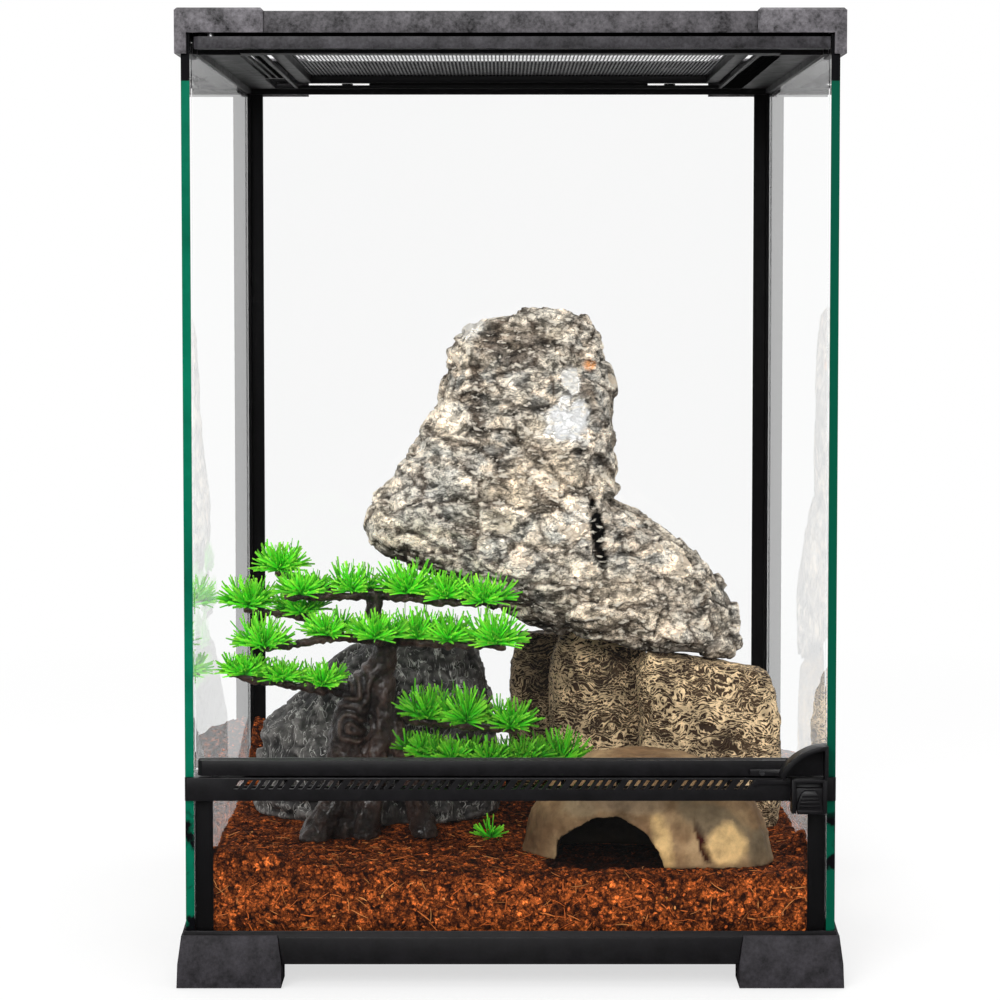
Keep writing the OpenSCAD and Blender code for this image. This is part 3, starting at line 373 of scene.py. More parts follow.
def ripple_group() -> bpy.types.NodeTree:
    """Fine wandering ridges with dark furrows between them."""

    def wire(graph: Graph, entry: bpy.types.Node, leave: bpy.types.Node) -> None:
        """Adds distorted bands and a net of lines, frays them and tints the colour with them."""
        spot = bent_spot(graph, 70.0, 0.008)
        flat = graph.node("ShaderNodeMapping", Vector=spot, Scale=(0.55, 0.55, 1.0)).outputs[0]
        bands = graph.node("ShaderNodeTexWave", {"wave_type": "BANDS", "bands_direction": "Z", "wave_profile": "SIN"},
                           Vector=flat, Scale=entry.outputs["Scale"], Distortion=13.0, Detail=4.0, Detail_Scale=2.2,
                           Detail_Roughness=0.66).outputs["Fac"]
        net_scale = graph.times(entry.outputs["Scale"], 1.7)
        cloud = graph.cloud(flat, net_scale, 1.5)
        net = graph.less(1.0, graph.ramp(graph.math("ABSOLUTE", graph.less(cloud, 0.5)), 0.0, 0.07))
        fray = graph.cloud(spot, 700.0, 5.0, 0.65)
        patch = graph.cloud(spot, 60.0, 3.0)
        level = graph.times(graph.highest(graph.times(bands, 0.85), net), graph.plus(fray, 0.45))
        level = graph.plus(level, graph.times(graph.less(patch, 0.5), 1.3))
        ridge = graph.ramp(level, 0.48, 0.72)
        lit = graph.node("ShaderNodeSeparateColor", _0=entry.outputs["Color"]).outputs[0]
        lit = graph.math("MINIMUM", graph.times(lit, 24.0), 1.42)
        lit = graph.grey(lit)
        tone = graph.mix(ridge, entry.outputs["Color"], graph.mix(1.0, entry.outputs["Ridge"], lit, "MULTIPLY"))
        speckle = graph.scaled(fray, 1.2, 0.4)
        grey = graph.grey(speckle)
        graph.feed(leave.inputs["Color"], graph.mix(1.0, tone, grey, "MULTIPLY"))
        graph.feed(leave.inputs["Height"], graph.plus(ridge, graph.times(fray, 0.35)))

    return make_group("rippled", {"Color": (COLOUR, (0.05, 0.03, 0.02, 1)), "Ridge": (COLOUR, (0.5, 0.38, 0.22, 1)),
                                  "Scale": (FLOAT, 130.0)},
                      {"Color": COLOUR, "Height": FLOAT}, wire)


def vein_group() -> bpy.types.NodeTree:
    """Thin, scratchy pale streaks across a dark stone."""

    def wire(graph: Graph, entry: bpy.types.Node, leave: bpy.types.Node) -> None:
        """Adds four sets of long noise streaks and tints the colour with them."""
        spot = bent_spot(graph, 60.0, 0.005)
        total: object = 0.0
        for size, width, turn in ((70.0, 0.010, 0.5), (95.0, 0.011, -0.75), (130.0, 0.013, 1.25), (170.0, 0.015, 0.1)):
            moved = graph.node("ShaderNodeMapping", Vector=spot, Rotation=(0.3 * turn, turn, 0.0),
                               Scale=(1.0, 1.0, 0.2)).outputs[0]
            cloud = graph.cloud(moved, size, 3.0, 0.5)
            away = graph.math("ABSOLUTE", graph.less(cloud, 0.5))
            line = graph.less(1.0, graph.ramp(away, width * 0.2, width))
            patch = graph.cloud(spot, size * 1.3, 3.0)
            total = graph.highest(total, graph.times(line, graph.ramp(patch, 0.48, 0.62)))
        fine = graph.cloud(spot, 900.0, 5.0, 0.7)
        rough = graph.cloud(spot, 130.0, 7.0, 0.68)
        level = graph.times(graph.plus(fine, 0.5), graph.plus(graph.ramp(rough, 0.36, 0.66), 0.35))
        grey = graph.grey(level)
        dark = graph.mix(1.0, entry.outputs["Color"], grey, "MULTIPLY")
        graph.feed(leave.inputs["Color"], graph.mix(total, dark, entry.outputs["Vein"]))
        high = graph.plus(graph.times(rough, 0.8), graph.times(fine, 0.2))
        graph.feed(leave.inputs["Height"], graph.plus(high, graph.times(total, 0.15)))

    return make_group("veined", {"Color": (COLOUR, (0.04, 0.04, 0.04, 1)), "Vein": (COLOUR, (0.55, 0.53, 0.48, 1))},
                      {"Color": COLOUR, "Height": FLOAT}, wire)


def crumb_group() -> bpy.types.NodeTree:
    """Crumbs of coco fibre: each with its own tone, and painted shade in the gaps between them."""

    def wire(graph: Graph, entry: bpy.types.Node, leave: bpy.types.Node) -> None:
        """Adds two sizes of cells and tints the colour with them."""
        spot = bent_spot(graph, 420.0, 0.0012)
        level: object = 1.0
        high: object = 0.0
        for size, low, top, part in ((250.0, 0.45, 1.6, 0.3), (640.0, 0.12, 2.1, 0.5), (1300.0, 0.4, 1.7, 0.3)):
            cells = graph.node("ShaderNodeTexVoronoi", Vector=spot, Scale=size, Randomness=1.0)
            chance = graph.node("ShaderNodeSeparateColor", _0=cells.outputs["Color"]).outputs[0]
            tone = graph.scaled(chance, top - low, low)
            # painted shade: each crumb darkens towards its edges, into the gaps
            gap_shade = graph.less(1.15, cells.outputs["Distance"])
            level = graph.times(level, graph.times(tone, gap_shade))
            high = graph.plus(high, graph.times(gap_shade, part))
        strand = graph.node("ShaderNodeTexNoise", {"noise_type": "RIDGED_MULTIFRACTAL", "normalize": True}, Vector=spot,
                            Scale=160.0, Detail=5.0).outputs[0]
        level = graph.times(level, graph.plus(graph.times(strand, 2.1), 0.9))
        grey = graph.grey(level)
        graph.feed(leave.inputs["Color"], graph.mix(1.0, entry.outputs["Color"], grey, "MULTIPLY"))
        graph.feed(leave.inputs["Height"], graph.plus(high, graph.times(strand, 0.5)))

    return make_group("crumbly", {"Color": (COLOUR, (0.2, 0.08, 0.03, 1))}, {"Color": COLOUR, "Height": FLOAT}, wire)


@dataclass(frozen=True)
class Finish:
    """A surface finish, made into a material when it is first asked for."""

    name: str
    roughness: float

    def material(self) -> bpy.types.Material:
        """The finish's material, built once.

        Returns:
            The material.
        """
        found = bpy.data.materials.get(self.name)
        if found:
            return found
        made = bpy.data.materials.new(self.name)
        made.use_nodes = True
        made.node_tree.nodes.clear()
        graph = Graph(made.node_tree)
        shader = self.wire(graph)
        graph.node("ShaderNodeOutputMaterial", Surface=shader)
        return made

    def wire(self, graph: Graph) -> bpy.types.NodeSocket:
        """Adds the finish's nodes."""
        raise NotImplementedError


@dataclass(frozen=True)
class Moulded(Finish):
    """Injection-moulded plastic with a fine grain and a little dust on top."""

    colour: Colour = (0.02, 0.02, 0.022)
    grain: float = 1400.0
    depth: float = 0.00002
    dust: float = 0.05
    specular: float = 0.5
    mottle: float = 0.35
    mottle_scale: float = 60.0

    def wire(self, graph: Graph) -> bpy.types.NodeSocket:
        """Wires grain, mottling and dust into a Principled shader."""
        grain = graph.node("ShaderNodeGroup", {"node_tree": grain_group()}, Scale=self.grain)
        mottle = graph.node("ShaderNodeGroup", {"node_tree": mottle_group()}, Color=self.colour,
                            Scale=self.mottle_scale, Contrast=self.mottle)
        dusty = graph.node("ShaderNodeGroup", {"node_tree": dust_group()}, Color=mottle.outputs["Color"],
                           Amount=self.dust)
        rough = graph.scaled(grain.outputs["Patches"], 0.07, self.roughness - 0.035)
        bump = graph.node("ShaderNodeBump", Height=grain.outputs["Height"], Distance=self.depth, Strength=0.6)
        return graph.node("ShaderNodeBsdfPrincipled", Base_Color=dusty.outputs["Color"], Roughness=rough,
                          Normal=bump.outputs[0], Specular_IOR_Level=self.specular).outputs[0]


@dataclass(frozen=True)
class ClearGlass(Finish):
    """Clear float glass that lets lamplight through."""

    colour: Colour = (0.999, 1.0, 0.9995)

    def wire(self, graph: Graph) -> bpy.types.NodeSocket:
        """Mixes glass with a transparent shader for shadow, diffuse and mirrored rays."""
        spot = graph.spot()
        smear = graph.cloud(spot, 14.0, 3.0)
        tone = graph.mix(graph.ramp(smear, 0.5, 0.8), self.colour, (0.995, 0.998, 0.997))
        glass = graph.node("ShaderNodeBsdfPrincipled", Base_Color=tone, Roughness=0.0, IOR=1.3,
                           Transmission_Weight=1.0, Specular_IOR_Level=0.06)
        clear = graph.node("ShaderNodeBsdfTransparent", Color=tone)
        path = graph.node("ShaderNodeLightPath")
        passing = graph.highest(path.outputs["Is Shadow Ray"], path.outputs["Is Diffuse Ray"])
        mirrored = graph.times(path.outputs["Is Glossy Ray"], graph.less(1.0, path.outputs["Is Transmission Ray"]))
        passing = graph.highest(passing, mirrored)
        return graph.node("ShaderNodeMixShader", _0=passing, _1=glass.outputs[0], _2=clear.outputs[0]).outputs[0]


@dataclass(frozen=True)
class GlassEdge(Finish):
    """Ground edge of a pane: the glass's own green, with painted shade on the right pane's edge, black sealant at the
    top and in smears low down.
    """

    colour: Colour = (0.001, 0.114, 0.062)
    shaded: Colour = (0.001, 0.069, 0.039)
    sealed_above: float = 0.4168
    smeared_below: float = 0.088

    def wire(self, graph: Graph) -> bpy.types.NodeSocket:
        """Wires a streaky green and the sealant's masks."""
        mottle = graph.node("ShaderNodeGroup", {"node_tree": mottle_group()}, Color=self.colour, Scale=70.0,
                            Contrast=0.8)
        spot = graph.spot()
        height = graph.node("ShaderNodeSeparateXYZ", Vector=spot).outputs["Z"]
        top = graph.ramp(height, self.sealed_above, self.sealed_above + 0.0004)
        smear = graph.cloud(spot, 95.0, 4.0)
        low = graph.less(1.0, graph.ramp(height, self.smeared_below - 0.01, self.smeared_below))
        mask = graph.highest(top, graph.times(low, graph.ramp(smear, 0.52, 0.60)))
        # painted shade: the right pane's edge takes the darker, shaded green
        right = graph.ramp(graph.node("ShaderNodeSeparateXYZ", Vector=spot).outputs["X"], -0.1, 0.1)
        green = graph.mix(right, mottle.outputs["Color"], self.shaded)
        tone = graph.mix(mask, green, (0.003, 0.003, 0.004))
        return graph.node("ShaderNodeBsdfPrincipled", Base_Color=tone, Roughness=self.roughness,
                          Specular_IOR_Level=0.03).outputs[0]


@dataclass(frozen=True)
class Metal(Finish):
    """Plain steel with fine scratches."""

    colour: Colour = (0.5, 0.5, 0.5)
    metallic: float = 1.0

    def wire(self, graph: Graph) -> bpy.types.NodeSocket:
        """Wires grain into a metallic Principled shader."""
        grain = graph.node("ShaderNodeGroup", {"node_tree": grain_group()}, Scale=2200.0)
        mottle = graph.node("ShaderNodeGroup", {"node_tree": mottle_group()}, Color=self.colour, Scale=400.0,
                            Contrast=0.3)
        rough = graph.scaled(grain.outputs["Patches"], 0.15, self.roughness)
        return graph.node("ShaderNodeBsdfPrincipled", Base_Color=mottle.outputs["Color"], Roughness=rough,
                          Metallic=self.metallic).outputs[0]


@dataclass(frozen=True)
class Tinted(Finish):
    """A rough or glossy surface whose colours are painted on its points."""

    scale: float = 500.0
    contrast: float = 1.0
    depth: float = 0.0002
    specular: float = 0.4
    coat: float = 0.0

    def detail(self, graph: Graph, colour: bpy.types.NodeSocket) -> bpy.types.Node:
        """Adds the group that breaks the painted colour up."""
        return graph.node("ShaderNodeGroup", {"node_tree": mottle_group()}, Color=colour, Scale=self.scale,
                          Contrast=self.contrast)

    def wire(self, graph: Graph) -> bpy.types.NodeSocket:
        """Wires the painted colour and its detail, with a small bump."""
        tint = graph.node("ShaderNodeAttribute", {"attribute_name": TINT})
        detail = self.detail(graph, tint.outputs["Color"])
        bump = graph.node("ShaderNodeBump", Height=detail.outputs["Height"], Distance=self.depth, Strength=0.9)
        rough = graph.scaled(detail.outputs["Height"], 0.15, self.roughness - 0.08)
        return graph.node("ShaderNodeBsdfPrincipled", Base_Color=detail.outputs["Color"], Roughness=rough,
                          Normal=bump.outputs[0], Specular_IOR_Level=self.specular,
                          Coat_Weight=self.coat, Coat_Roughness=0.2).outputs[0]


@dataclass(frozen=True)
class Cragged(Tinted):
    """Broken, layered stone."""

    def detail(self, graph: Graph, colour: bpy.types.NodeSocket) -> bpy.types.Node:
        """Adds cracks and pale ridges."""
        return graph.node("ShaderNodeGroup", {"node_tree": crag_group()}, Color=colour, Scale=self.scale)


@dataclass(frozen=True)
class Rippled(Tinted):
    """Stone with fine tan ridges."""

    ridge: Colour = (0.66, 0.49, 0.29)

    def detail(self, graph: Graph, colour: bpy.types.NodeSocket) -> bpy.types.Node:
        """Adds the ridges."""
        return graph.node("ShaderNodeGroup", {"node_tree": ripple_group()}, Color=colour, Ridge=self.ridge,
                          Scale=self.scale)


@dataclass(frozen=True)
class VeinedFinish(Tinted):
    """Dark stone with pale veins."""

    vein: Colour = (0.62, 0.61, 0.57)

    def detail(self, graph: Graph, colour: bpy.types.NodeSocket) -> bpy.types.Node:
        """Adds the veins."""
        return graph.node("ShaderNodeGroup", {"node_tree": vein_group()}, Color=colour, Vein=self.vein)


@dataclass(frozen=True)
class Crumbly(Tinted):
    """Coco fibre crumbs."""

    def detail(self, graph: Graph, colour: bpy.types.NodeSocket) -> bpy.types.Node:
        """Adds the crumbs."""
        return graph.node("ShaderNodeGroup", {"node_tree": crumb_group()}, Color=colour)


BLACK = Moulded("satin_black_moulding", 0.42, (0.0052, 0.0046, 0.0058), depth=0.00005, dust=0.03, specular=0.3,
                mottle=1.6, mottle_scale=600.0)
# painted light: a lighter copy of the black plastic for the top frame's lit outer faces
LIT_BLACK = Moulded("lit_speckled_black_moulding", 0.5, (0.064, 0.060, 0.065), depth=0.00008, specular=0.22, mottle=2.9,
                mottle_scale=700.0)
# painted light: a somewhat lighter copy of the black plastic for the door head
HALF_LIT_BLACK = Moulded("half_lit_door_head_moulding", 0.5, (0.033, 0.031, 0.035), depth=0.00008, specular=0.25, mottle=2.6,
               mottle_scale=650.0)
# painted light: the lightest copy of the black plastic, for the lit corner caps
LIT_CAP_BLACK = Moulded("lit_speckled_cap_moulding", 0.5, (0.094, 0.088, 0.096), depth=0.00008, specular=0.22, mottle=2.9,
              mottle_scale=700.0)
# painted shade: a darker copy of the black plastic for inner, recessed and underside parts
SHADED_BLACK = Moulded("shaded_inner_black_moulding", 0.5, (0.0018, 0.0016, 0.0021), dust=0.0, specular=0.07)
CHARCOAL = Moulded("grained_charcoal_moulding", 0.66, (0.027, 0.0245, 0.029), grain=900.0, depth=0.00014,
                   dust=0.03, specular=0.25, mottle=1.9, mottle_scale=600.0)
GLASS = ClearGlass("clear_float_glass", 0.0)
EDGE = GlassEdge("green_glass_edge", 0.3)
STEEL = Metal("dull_steel", 0.35, (0.62, 0.62, 0.63))
SCREW = Metal("darkened_screw", 0.3, (0.10, 0.10, 0.105), 0.9)
WIRE = Metal("blackened_wire", 0.45, (0.02, 0.02, 0.022), 0.3)
FIBRE = Crumbly("coco_fibre", 0.9, depth=0.0006, specular=0.08)
CHIPS = Tinted("coco_chips", 0.85, 2200.0, 0.8, 0.0001, 0.08)
GREY_ROCK = Cragged("weathered_grey_rock", 0.85, 105.0, depth=0.0026, specular=0.15)
BROWN_STONE = Rippled("ridged_brown_stone", 0.7, 165.0, depth=0.0010, specular=0.15)
RESIN = Tinted("painted_cave_resin", 0.65, 420.0, 0.75, 0.0004, 0.15)
VEINED = VeinedFinish("dark_veined_stone", 0.55, depth=0.0014, specular=0.3)
BARK = Tinted("glossy_bark", 0.32, 420.0, 1.5, 0.0022, 0.5, 0.3)
NEEDLE = Tinted("green_needles", 0.5, 900.0, 0.2, 0.00002, 0.2)


# ---------------------------------------------------------------------------------------------
# Modelling helpers
# ---------------------------------------------------------------------------------------------


def deselect() -> None:
    """Clears the selection, which the operators act on."""
    if bpy.context.object and bpy.context.object.mode != "OBJECT":
        bpy.ops.object.mode_set(mode="OBJECT")
    bpy.ops.object.select_all(action="DESELECT")


def pick(piece: bpy.types.Object) -> None:
    """Makes a piece the only selected and the active one.

    Args:
        piece: The piece.
    """
    deselect()
    piece.select_set(True)
    bpy.context.view_layer.objects.active = piece


def modify(piece: bpy.types.Object, kind: str, **settings: object) -> None:
    """Adds a modifier and applies it at once.

    Args:
        piece: The piece.
        kind: The modifier's type.
        **settings: Its properties.
    """
    pick(piece)
    made = piece.modifiers.new(kind.lower(), kind)
    for name, value in settings.items():
        setattr(made, name, value)
    bpy.ops.object.modifier_apply(modifier=made.name)


def copy_node(node: str, name: str) -> bpy.types.Object:
    """Copies a solid of the frame into a new piece with merged points.

    Args:
        node: The solid's name.
        name: The new piece's name.

    Returns:
        The new piece, at the origin.
    """
    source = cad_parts[node]
    made = bpy.data.objects.new(name, source.data.copy())
    bpy.context.scene.collection.objects.link(made)
    made.data.materials.clear()
    pick(made)
    bpy.ops.object.mode_set(mode="EDIT")
    bpy.ops.mesh.select_all(action="SELECT")
    bpy.ops.mesh.remove_doubles(threshold=MERGE)
    bpy.ops.mesh.customdata_custom_splitnormals_clear()
    bpy.ops.object.mode_set(mode="OBJECT")
    return made


def smooth(piece: bpy.types.Object, degrees: float = 35.0) -> None:
    """Shades a piece smooth where its faces meet at less than an angle."""
    pick(piece)
    bpy.ops.object.shade_smooth_by_angle(angle=math.radians(degrees))


def points_of(piece: bpy.types.Object) -> np.ndarray:
    """The piece's points, one row each, in metres."""
    co = np.empty(len(piece.data.vertices) * 3)
    piece.data.vertices.foreach_get("co", co)
    return co.reshape(-1, 3)


def normals_of(piece: bpy.types.Object) -> np.ndarray:
    """The piece's point normals, one row each."""
    no = np.empty(len(piece.data.vertices) * 3)
    piece.data.vertices.foreach_get("normal", no)
    return no.reshape(-1, 3)


def set_points(piece: bpy.types.Object, points: np.ndarray) -> None:
    """Writes points back to a piece."""
    piece.data.vertices.foreach_set("co", points.ravel())
    piece.data.update()


def paint(piece: bpy.types.Object, colours: np.ndarray) -> None:
    """Stores a colour for each point.

    Args:
        piece: The piece.
        colours: One row of three for each point.
    """
    layer = piece.data.color_attributes.new(name=TINT, type="FLOAT_COLOR", domain="POINT")
    full = np.ones((len(colours), 4))
    full[:, :3] = np.clip(colours, 0.0, 1.0)
    layer.data.foreach_set("color", full.ravel())


def fractal_at(spots: np.ndarray, size: float, rough: float = 0.8, octaves: int = 3,
               shift: tuple[float, float, float] = (0.0, 0.0, 0.0)) -> np.ndarray:
    """Fractal noise at each point."""
    return np.array([noise.fractal((Vector(p) + Vector(shift)) / size, rough, 2.0, octaves) for p in spots])


def blend(first: np.ndarray, second: Iterable, share: np.ndarray) -> np.ndarray:
    """Mixes colours point by point."""
    part = share[:, None]
    return first * (1.0 - part) + np.asarray(second) * part


def hollows(piece: bpy.types.Object, passes: int = 2, reach: int = 1) -> np.ndarray:
    """How far each point lies below the mean of the surface around it.

    Args:
        piece: The piece.
        passes: How often the measure is smoothed over the neighbours.
        reach: How many neighbours away the mean is taken.

    Returns:
        Depths in millimetres, positive in hollows and negative on ridges.
    """
    co = points_of(piece)
    ends = np.empty(len(piece.data.edges) * 2, dtype=np.int64)
    piece.data.edges.foreach_get("vertices", ends)
    first, second = ends.reshape(-1, 2).T
    count = np.maximum(np.bincount(ends, minlength=len(co)).astype(float), 1.0)

    def spread(values: np.ndarray) -> np.ndarray:
        """Mean of the neighbours' values, one column at a time."""
        flat = values.reshape(len(values), -1)
        sums = [np.bincount(first, column[second], len(co)) + np.bincount(second, column[first], len(co))
                for column in flat.T]
        return (np.stack(sums, axis=1) / count[:, None]).reshape(values.shape)

    mean = co
    for _ in range(reach):
        mean = 0.3 * mean + 0.7 * spread(mean)
    depth = np.einsum("ij,ij->i", mean - co, normals_of(piece)) / MM
    for _ in range(passes):
        depth = 0.5 * depth + 0.5 * spread(depth)
    return depth


def dress(piece: bpy.types.Object, finish: Finish, body: Body, slot: Slot, stands_for: Sequence[str] = ()) -> None:
    """Gives a new piece its finish, its body and what it stands for.

    Args:
        piece: The piece.
        finish: Its finish.
        body: The body that it moves with.
        slot: The material slot; not used.
        stands_for: Solids of the frame that it replaces.
    """
    if not piece.data.materials:
        piece.data.materials.append(finish.material())
    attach(piece, body.value)
    for node in stands_for:
        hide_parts(node)
    log.info("%s: %d faces on %s", piece.name, len(piece.data.polygons), body.value)


def dress_node(node: str, finish: Finish) -> None:
    """Gives a solid of the frame its finish.

    Args:
        node: The solid's name.
        finish: Its finish.
    """
    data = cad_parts[node].data
    data.materials.clear()
    data.materials.append(finish.material())
    log.info("%s: dressed", node)


def weigh_edges(piece: bpy.types.Object, shortest: float, degrees: float = 30.0) -> None:
    """Marks a piece's long sharp edges for its bevel.

    Args:
        piece: The piece.
        shortest: Length below which an edge stays sharp, in millimetres.
        degrees: Angle above which an edge counts as sharp.
    """
    pick(piece)
    bpy.ops.object.mode_set(mode="EDIT")
    mesh = bmesh.from_edit_mesh(piece.data)
    layer = mesh.edges.layers.float.get("bevel_weight_edge") or mesh.edges.layers.float.new("bevel_weight_edge")
    for edge in mesh.edges:
        sharp = len(edge.link_faces) == 2 and edge.calc_face_angle(0.0) > math.radians(degrees)
        edge[layer] = 1.0 if sharp and edge.calc_length() > shortest * MM else 0.0
    bmesh.update_edit_mesh(piece.data)
    bpy.ops.object.mode_set(mode="OBJECT")


def bevelled(node: str, name: str, width: float, finish: Finish, body: Body, slot: Slot,
             shortest: float = 0.0) -> bpy.types.Object:
    """A moulded piece: a copy of its solid with rounded edges.

    Args:
        node: The solid's name.
        name: The new piece's name.
        width: Width of the rounding, in millimetres.
        finish: Its finish.
        body: The body that it moves with.
        slot: The material slot.
        shortest: Length below which an edge stays sharp, or 0 to round them all.

    Returns:
        The new piece.
    """
    made = copy_node(node, name)
    if shortest:
        weigh_edges(made, shortest)
        modify(made, "BEVEL", width=width * MM, segments=2, limit_method="WEIGHT", use_clamp_overlap=True)
    else:
        pick(made)
        bpy.ops.object.mode_set(mode="EDIT")
        bpy.ops.mesh.select_all(action="SELECT")
        bpy.ops.mesh.dissolve_limited(angle_limit=math.radians(1.0))
        bpy.ops.object.mode_set(mode="OBJECT")
        modify(made, "BEVEL", width=width * MM, segments=2, limit_method="ANGLE", angle_limit=math.radians(32),
               use_clamp_overlap=True, miter_outer="MITER_ARC")
    smooth(made, 40.0)
    dress(made, finish, body, slot, [node])
    return made


# ---------------------------------------------------------------------------------------------
# Relief on stones
# ---------------------------------------------------------------------------------------------


@dataclass(frozen=True)
class Mark:
    """A dent or bulge on a stone, centred on a point of its front, whose tint is a stain, a painted highlight or
    painted shade.
    """

    x: float
    z: float
    wide: float
    tall: float
    push: float = 0.0
    tint: Colour | None = None
    strength: float = 1.0
    lean: float = 0.0
    ragged: float = 0.35

    def weight(self, spot: np.ndarray, ripple: np.ndarray) -> np.ndarray:
        """How strongly the mark acts on each point.

        Args:
            spot: Points as X, depth and Z, in millimetres.
            ripple: A noise value for each point that frays the mark's edge.

        Returns:
            Weights from 0 to 1.
        """
        turn = math.radians(self.lean)
        dx, dz = spot[:, 0] - self.x, spot[:, 2] - self.z
        across = (dx * math.cos(turn) + dz * math.sin(turn)) / self.wide
        along = (-dx * math.sin(turn) + dz * math.cos(turn)) / self.tall
        inside = 1.0 - (across ** 2 + along ** 2) + self.ragged * ripple
        return np.clip(inside * 1.6, 0.0, 1.0) * self.strength


@dataclass(frozen=True)
class Strata:
    """Sloping ledges across a stone."""

    pitch: float
    slope: float
    depth: float


@dataclass
class Stone:
    """A stone, carved from its solid by noise, marks and ledges, and painted to match."""

    node: str
    name: str
    finish: Finish
    slot: Slot
    colours: tuple[Colour, Colour, Colour]
    voxel: float = 1.6
    broad: float = 3.0
    middle: float = 1.4
    small: float = 0.5
    broad_size: float = 34.0
    marks: Sequence[Mark] = ()
    strata: Strata | None = None
    # strength of the painted shade in the hollows
    crease_shade: float = 1.6
    limit: float = 1.8
    seed: float = 0.0

    def build(self) -> bpy.types.Object:
        """Makes the stone.

        Returns:
            The finished piece.
        """
        made = copy_node(self.node, self.name)
        modify(made, "REMESH", mode="VOXEL", voxel_size=self.voxel * MM, use_smooth_shade=True)
        modify(made, "SMOOTH", factor=0.5, iterations=3)
        self.carve(made)
        self.colour(made)
        dress(made, self.finish, Body.CABINET, self.slot, [self.node])
        return made

    def relief(self, spot: Vector) -> float:
        """Height of the relief at a point.

        Args:
            spot: The point, in millimetres.

        Returns:
            The height above the solid, in millimetres.
        """
        moved = spot + Vector((self.seed, self.seed * 1.7, -self.seed))
        high = noise.fractal(moved / self.broad_size, 0.8, 2.1, 3) * self.broad
        high += (noise.ridged_multi_fractal(moved / 15.0, 0.9, 2.2, 4, 1.0, 2.0) - 1.2) * self.middle
        return high + noise.fractal(moved / 3.2, 0.7, 2.0, 3) * self.small

    def carve(self, piece: bpy.types.Object) -> None:
        """Moves the points along their normals.

        Args:
            piece: The stone.
        """
        co, no = points_of(piece), normals_of(piece)
        spot = plan_mm(co.copy())
        high = np.array([self.relief(Vector(p)) for p in spot])
        ripple = fractal_at(spot, 9.0)
        facing = np.clip(-no[:, 1] * 1.5, 0.0, 1.0)
        for mark in self.marks:
            if mark.push:
                high += mark.weight(spot, ripple) * mark.push * facing
        if self.strata:
            layer = (spot[:, 2] + self.strata.slope * spot[:, 0] + ripple * 5.0) / self.strata.pitch
            step = np.abs((layer % 1.0) - 0.5) * 2.0
            high += (step ** 0.5 - 0.6) * self.strata.depth * np.clip(ripple + 0.8, 0.0, 1.0)
        high = np.tanh(high / self.limit) * self.limit
        inward = np.where(spot[:, 2] < SOIL_TOP / MM + 3.0, 0.3, 1.0)
        set_points(piece, co + no * (high * inward * MM)[:, None])

    def colour(self, piece: bpy.types.Object) -> None:
        """Paints the stone from its relief, its marks and three base colours: the third as a painted highlight on the
        ridges, with painted shade in the hollows.

        Args:
            piece: The stone.
        """
        spot = plan_mm(points_of(piece))
        no = normals_of(piece)
        deep = hollows(piece)
        blotch = fractal_at(spot, 22.0, 0.9, 4, (11.0, self.seed, 5.0))
        ripple = fractal_at(spot, 7.0)
        first, second, third = (np.array(c) for c in self.colours)
        tone = blend(first, second, np.clip(blotch * 1.5 + 0.5, 0.0, 1.0))
        # painted highlight: the third colour goes on the ridges
        tone = blend(tone, third, 0.5 * np.clip(-deep * 2.2, 0.0, 1.0))
        tone = self.add_mark_tints(tone, spot, no, ripple)
        # painted shade: darker in the hollows
        dark = np.clip(1.0 - np.clip(deep, 0.0, 2.0) * self.crease_shade, 0.25, 1.0)
        paint(piece, tone * (dark * (1.0 + 0.25 * ripple))[:, None])

    def add_mark_tints(self, tone: np.ndarray, spot: np.ndarray, no: np.ndarray, ripple: np.ndarray,
                wanted: Callable[[Colour], bool] = bool) -> np.ndarray:
        """Adds the tints of the marks to the stone's front.

        Args:
            tone: A colour for each point.
            spot: The points as X, depth and Z, in millimetres.
            no: The points' normals.
            ripple: A noise value for each point that frays the marks' edges.
            wanted: Tells whether a tint takes part.

        Returns:
            The new colours.
        """
        facing = np.clip(0.35 - no[:, 1] * 1.5, 0.0, 1.0)
        for mark in self.marks:
            if mark.tint is not None and wanted(mark.tint):
                tone = blend(tone, mark.tint, mark.weight(spot, ripple) * facing)
        return tone


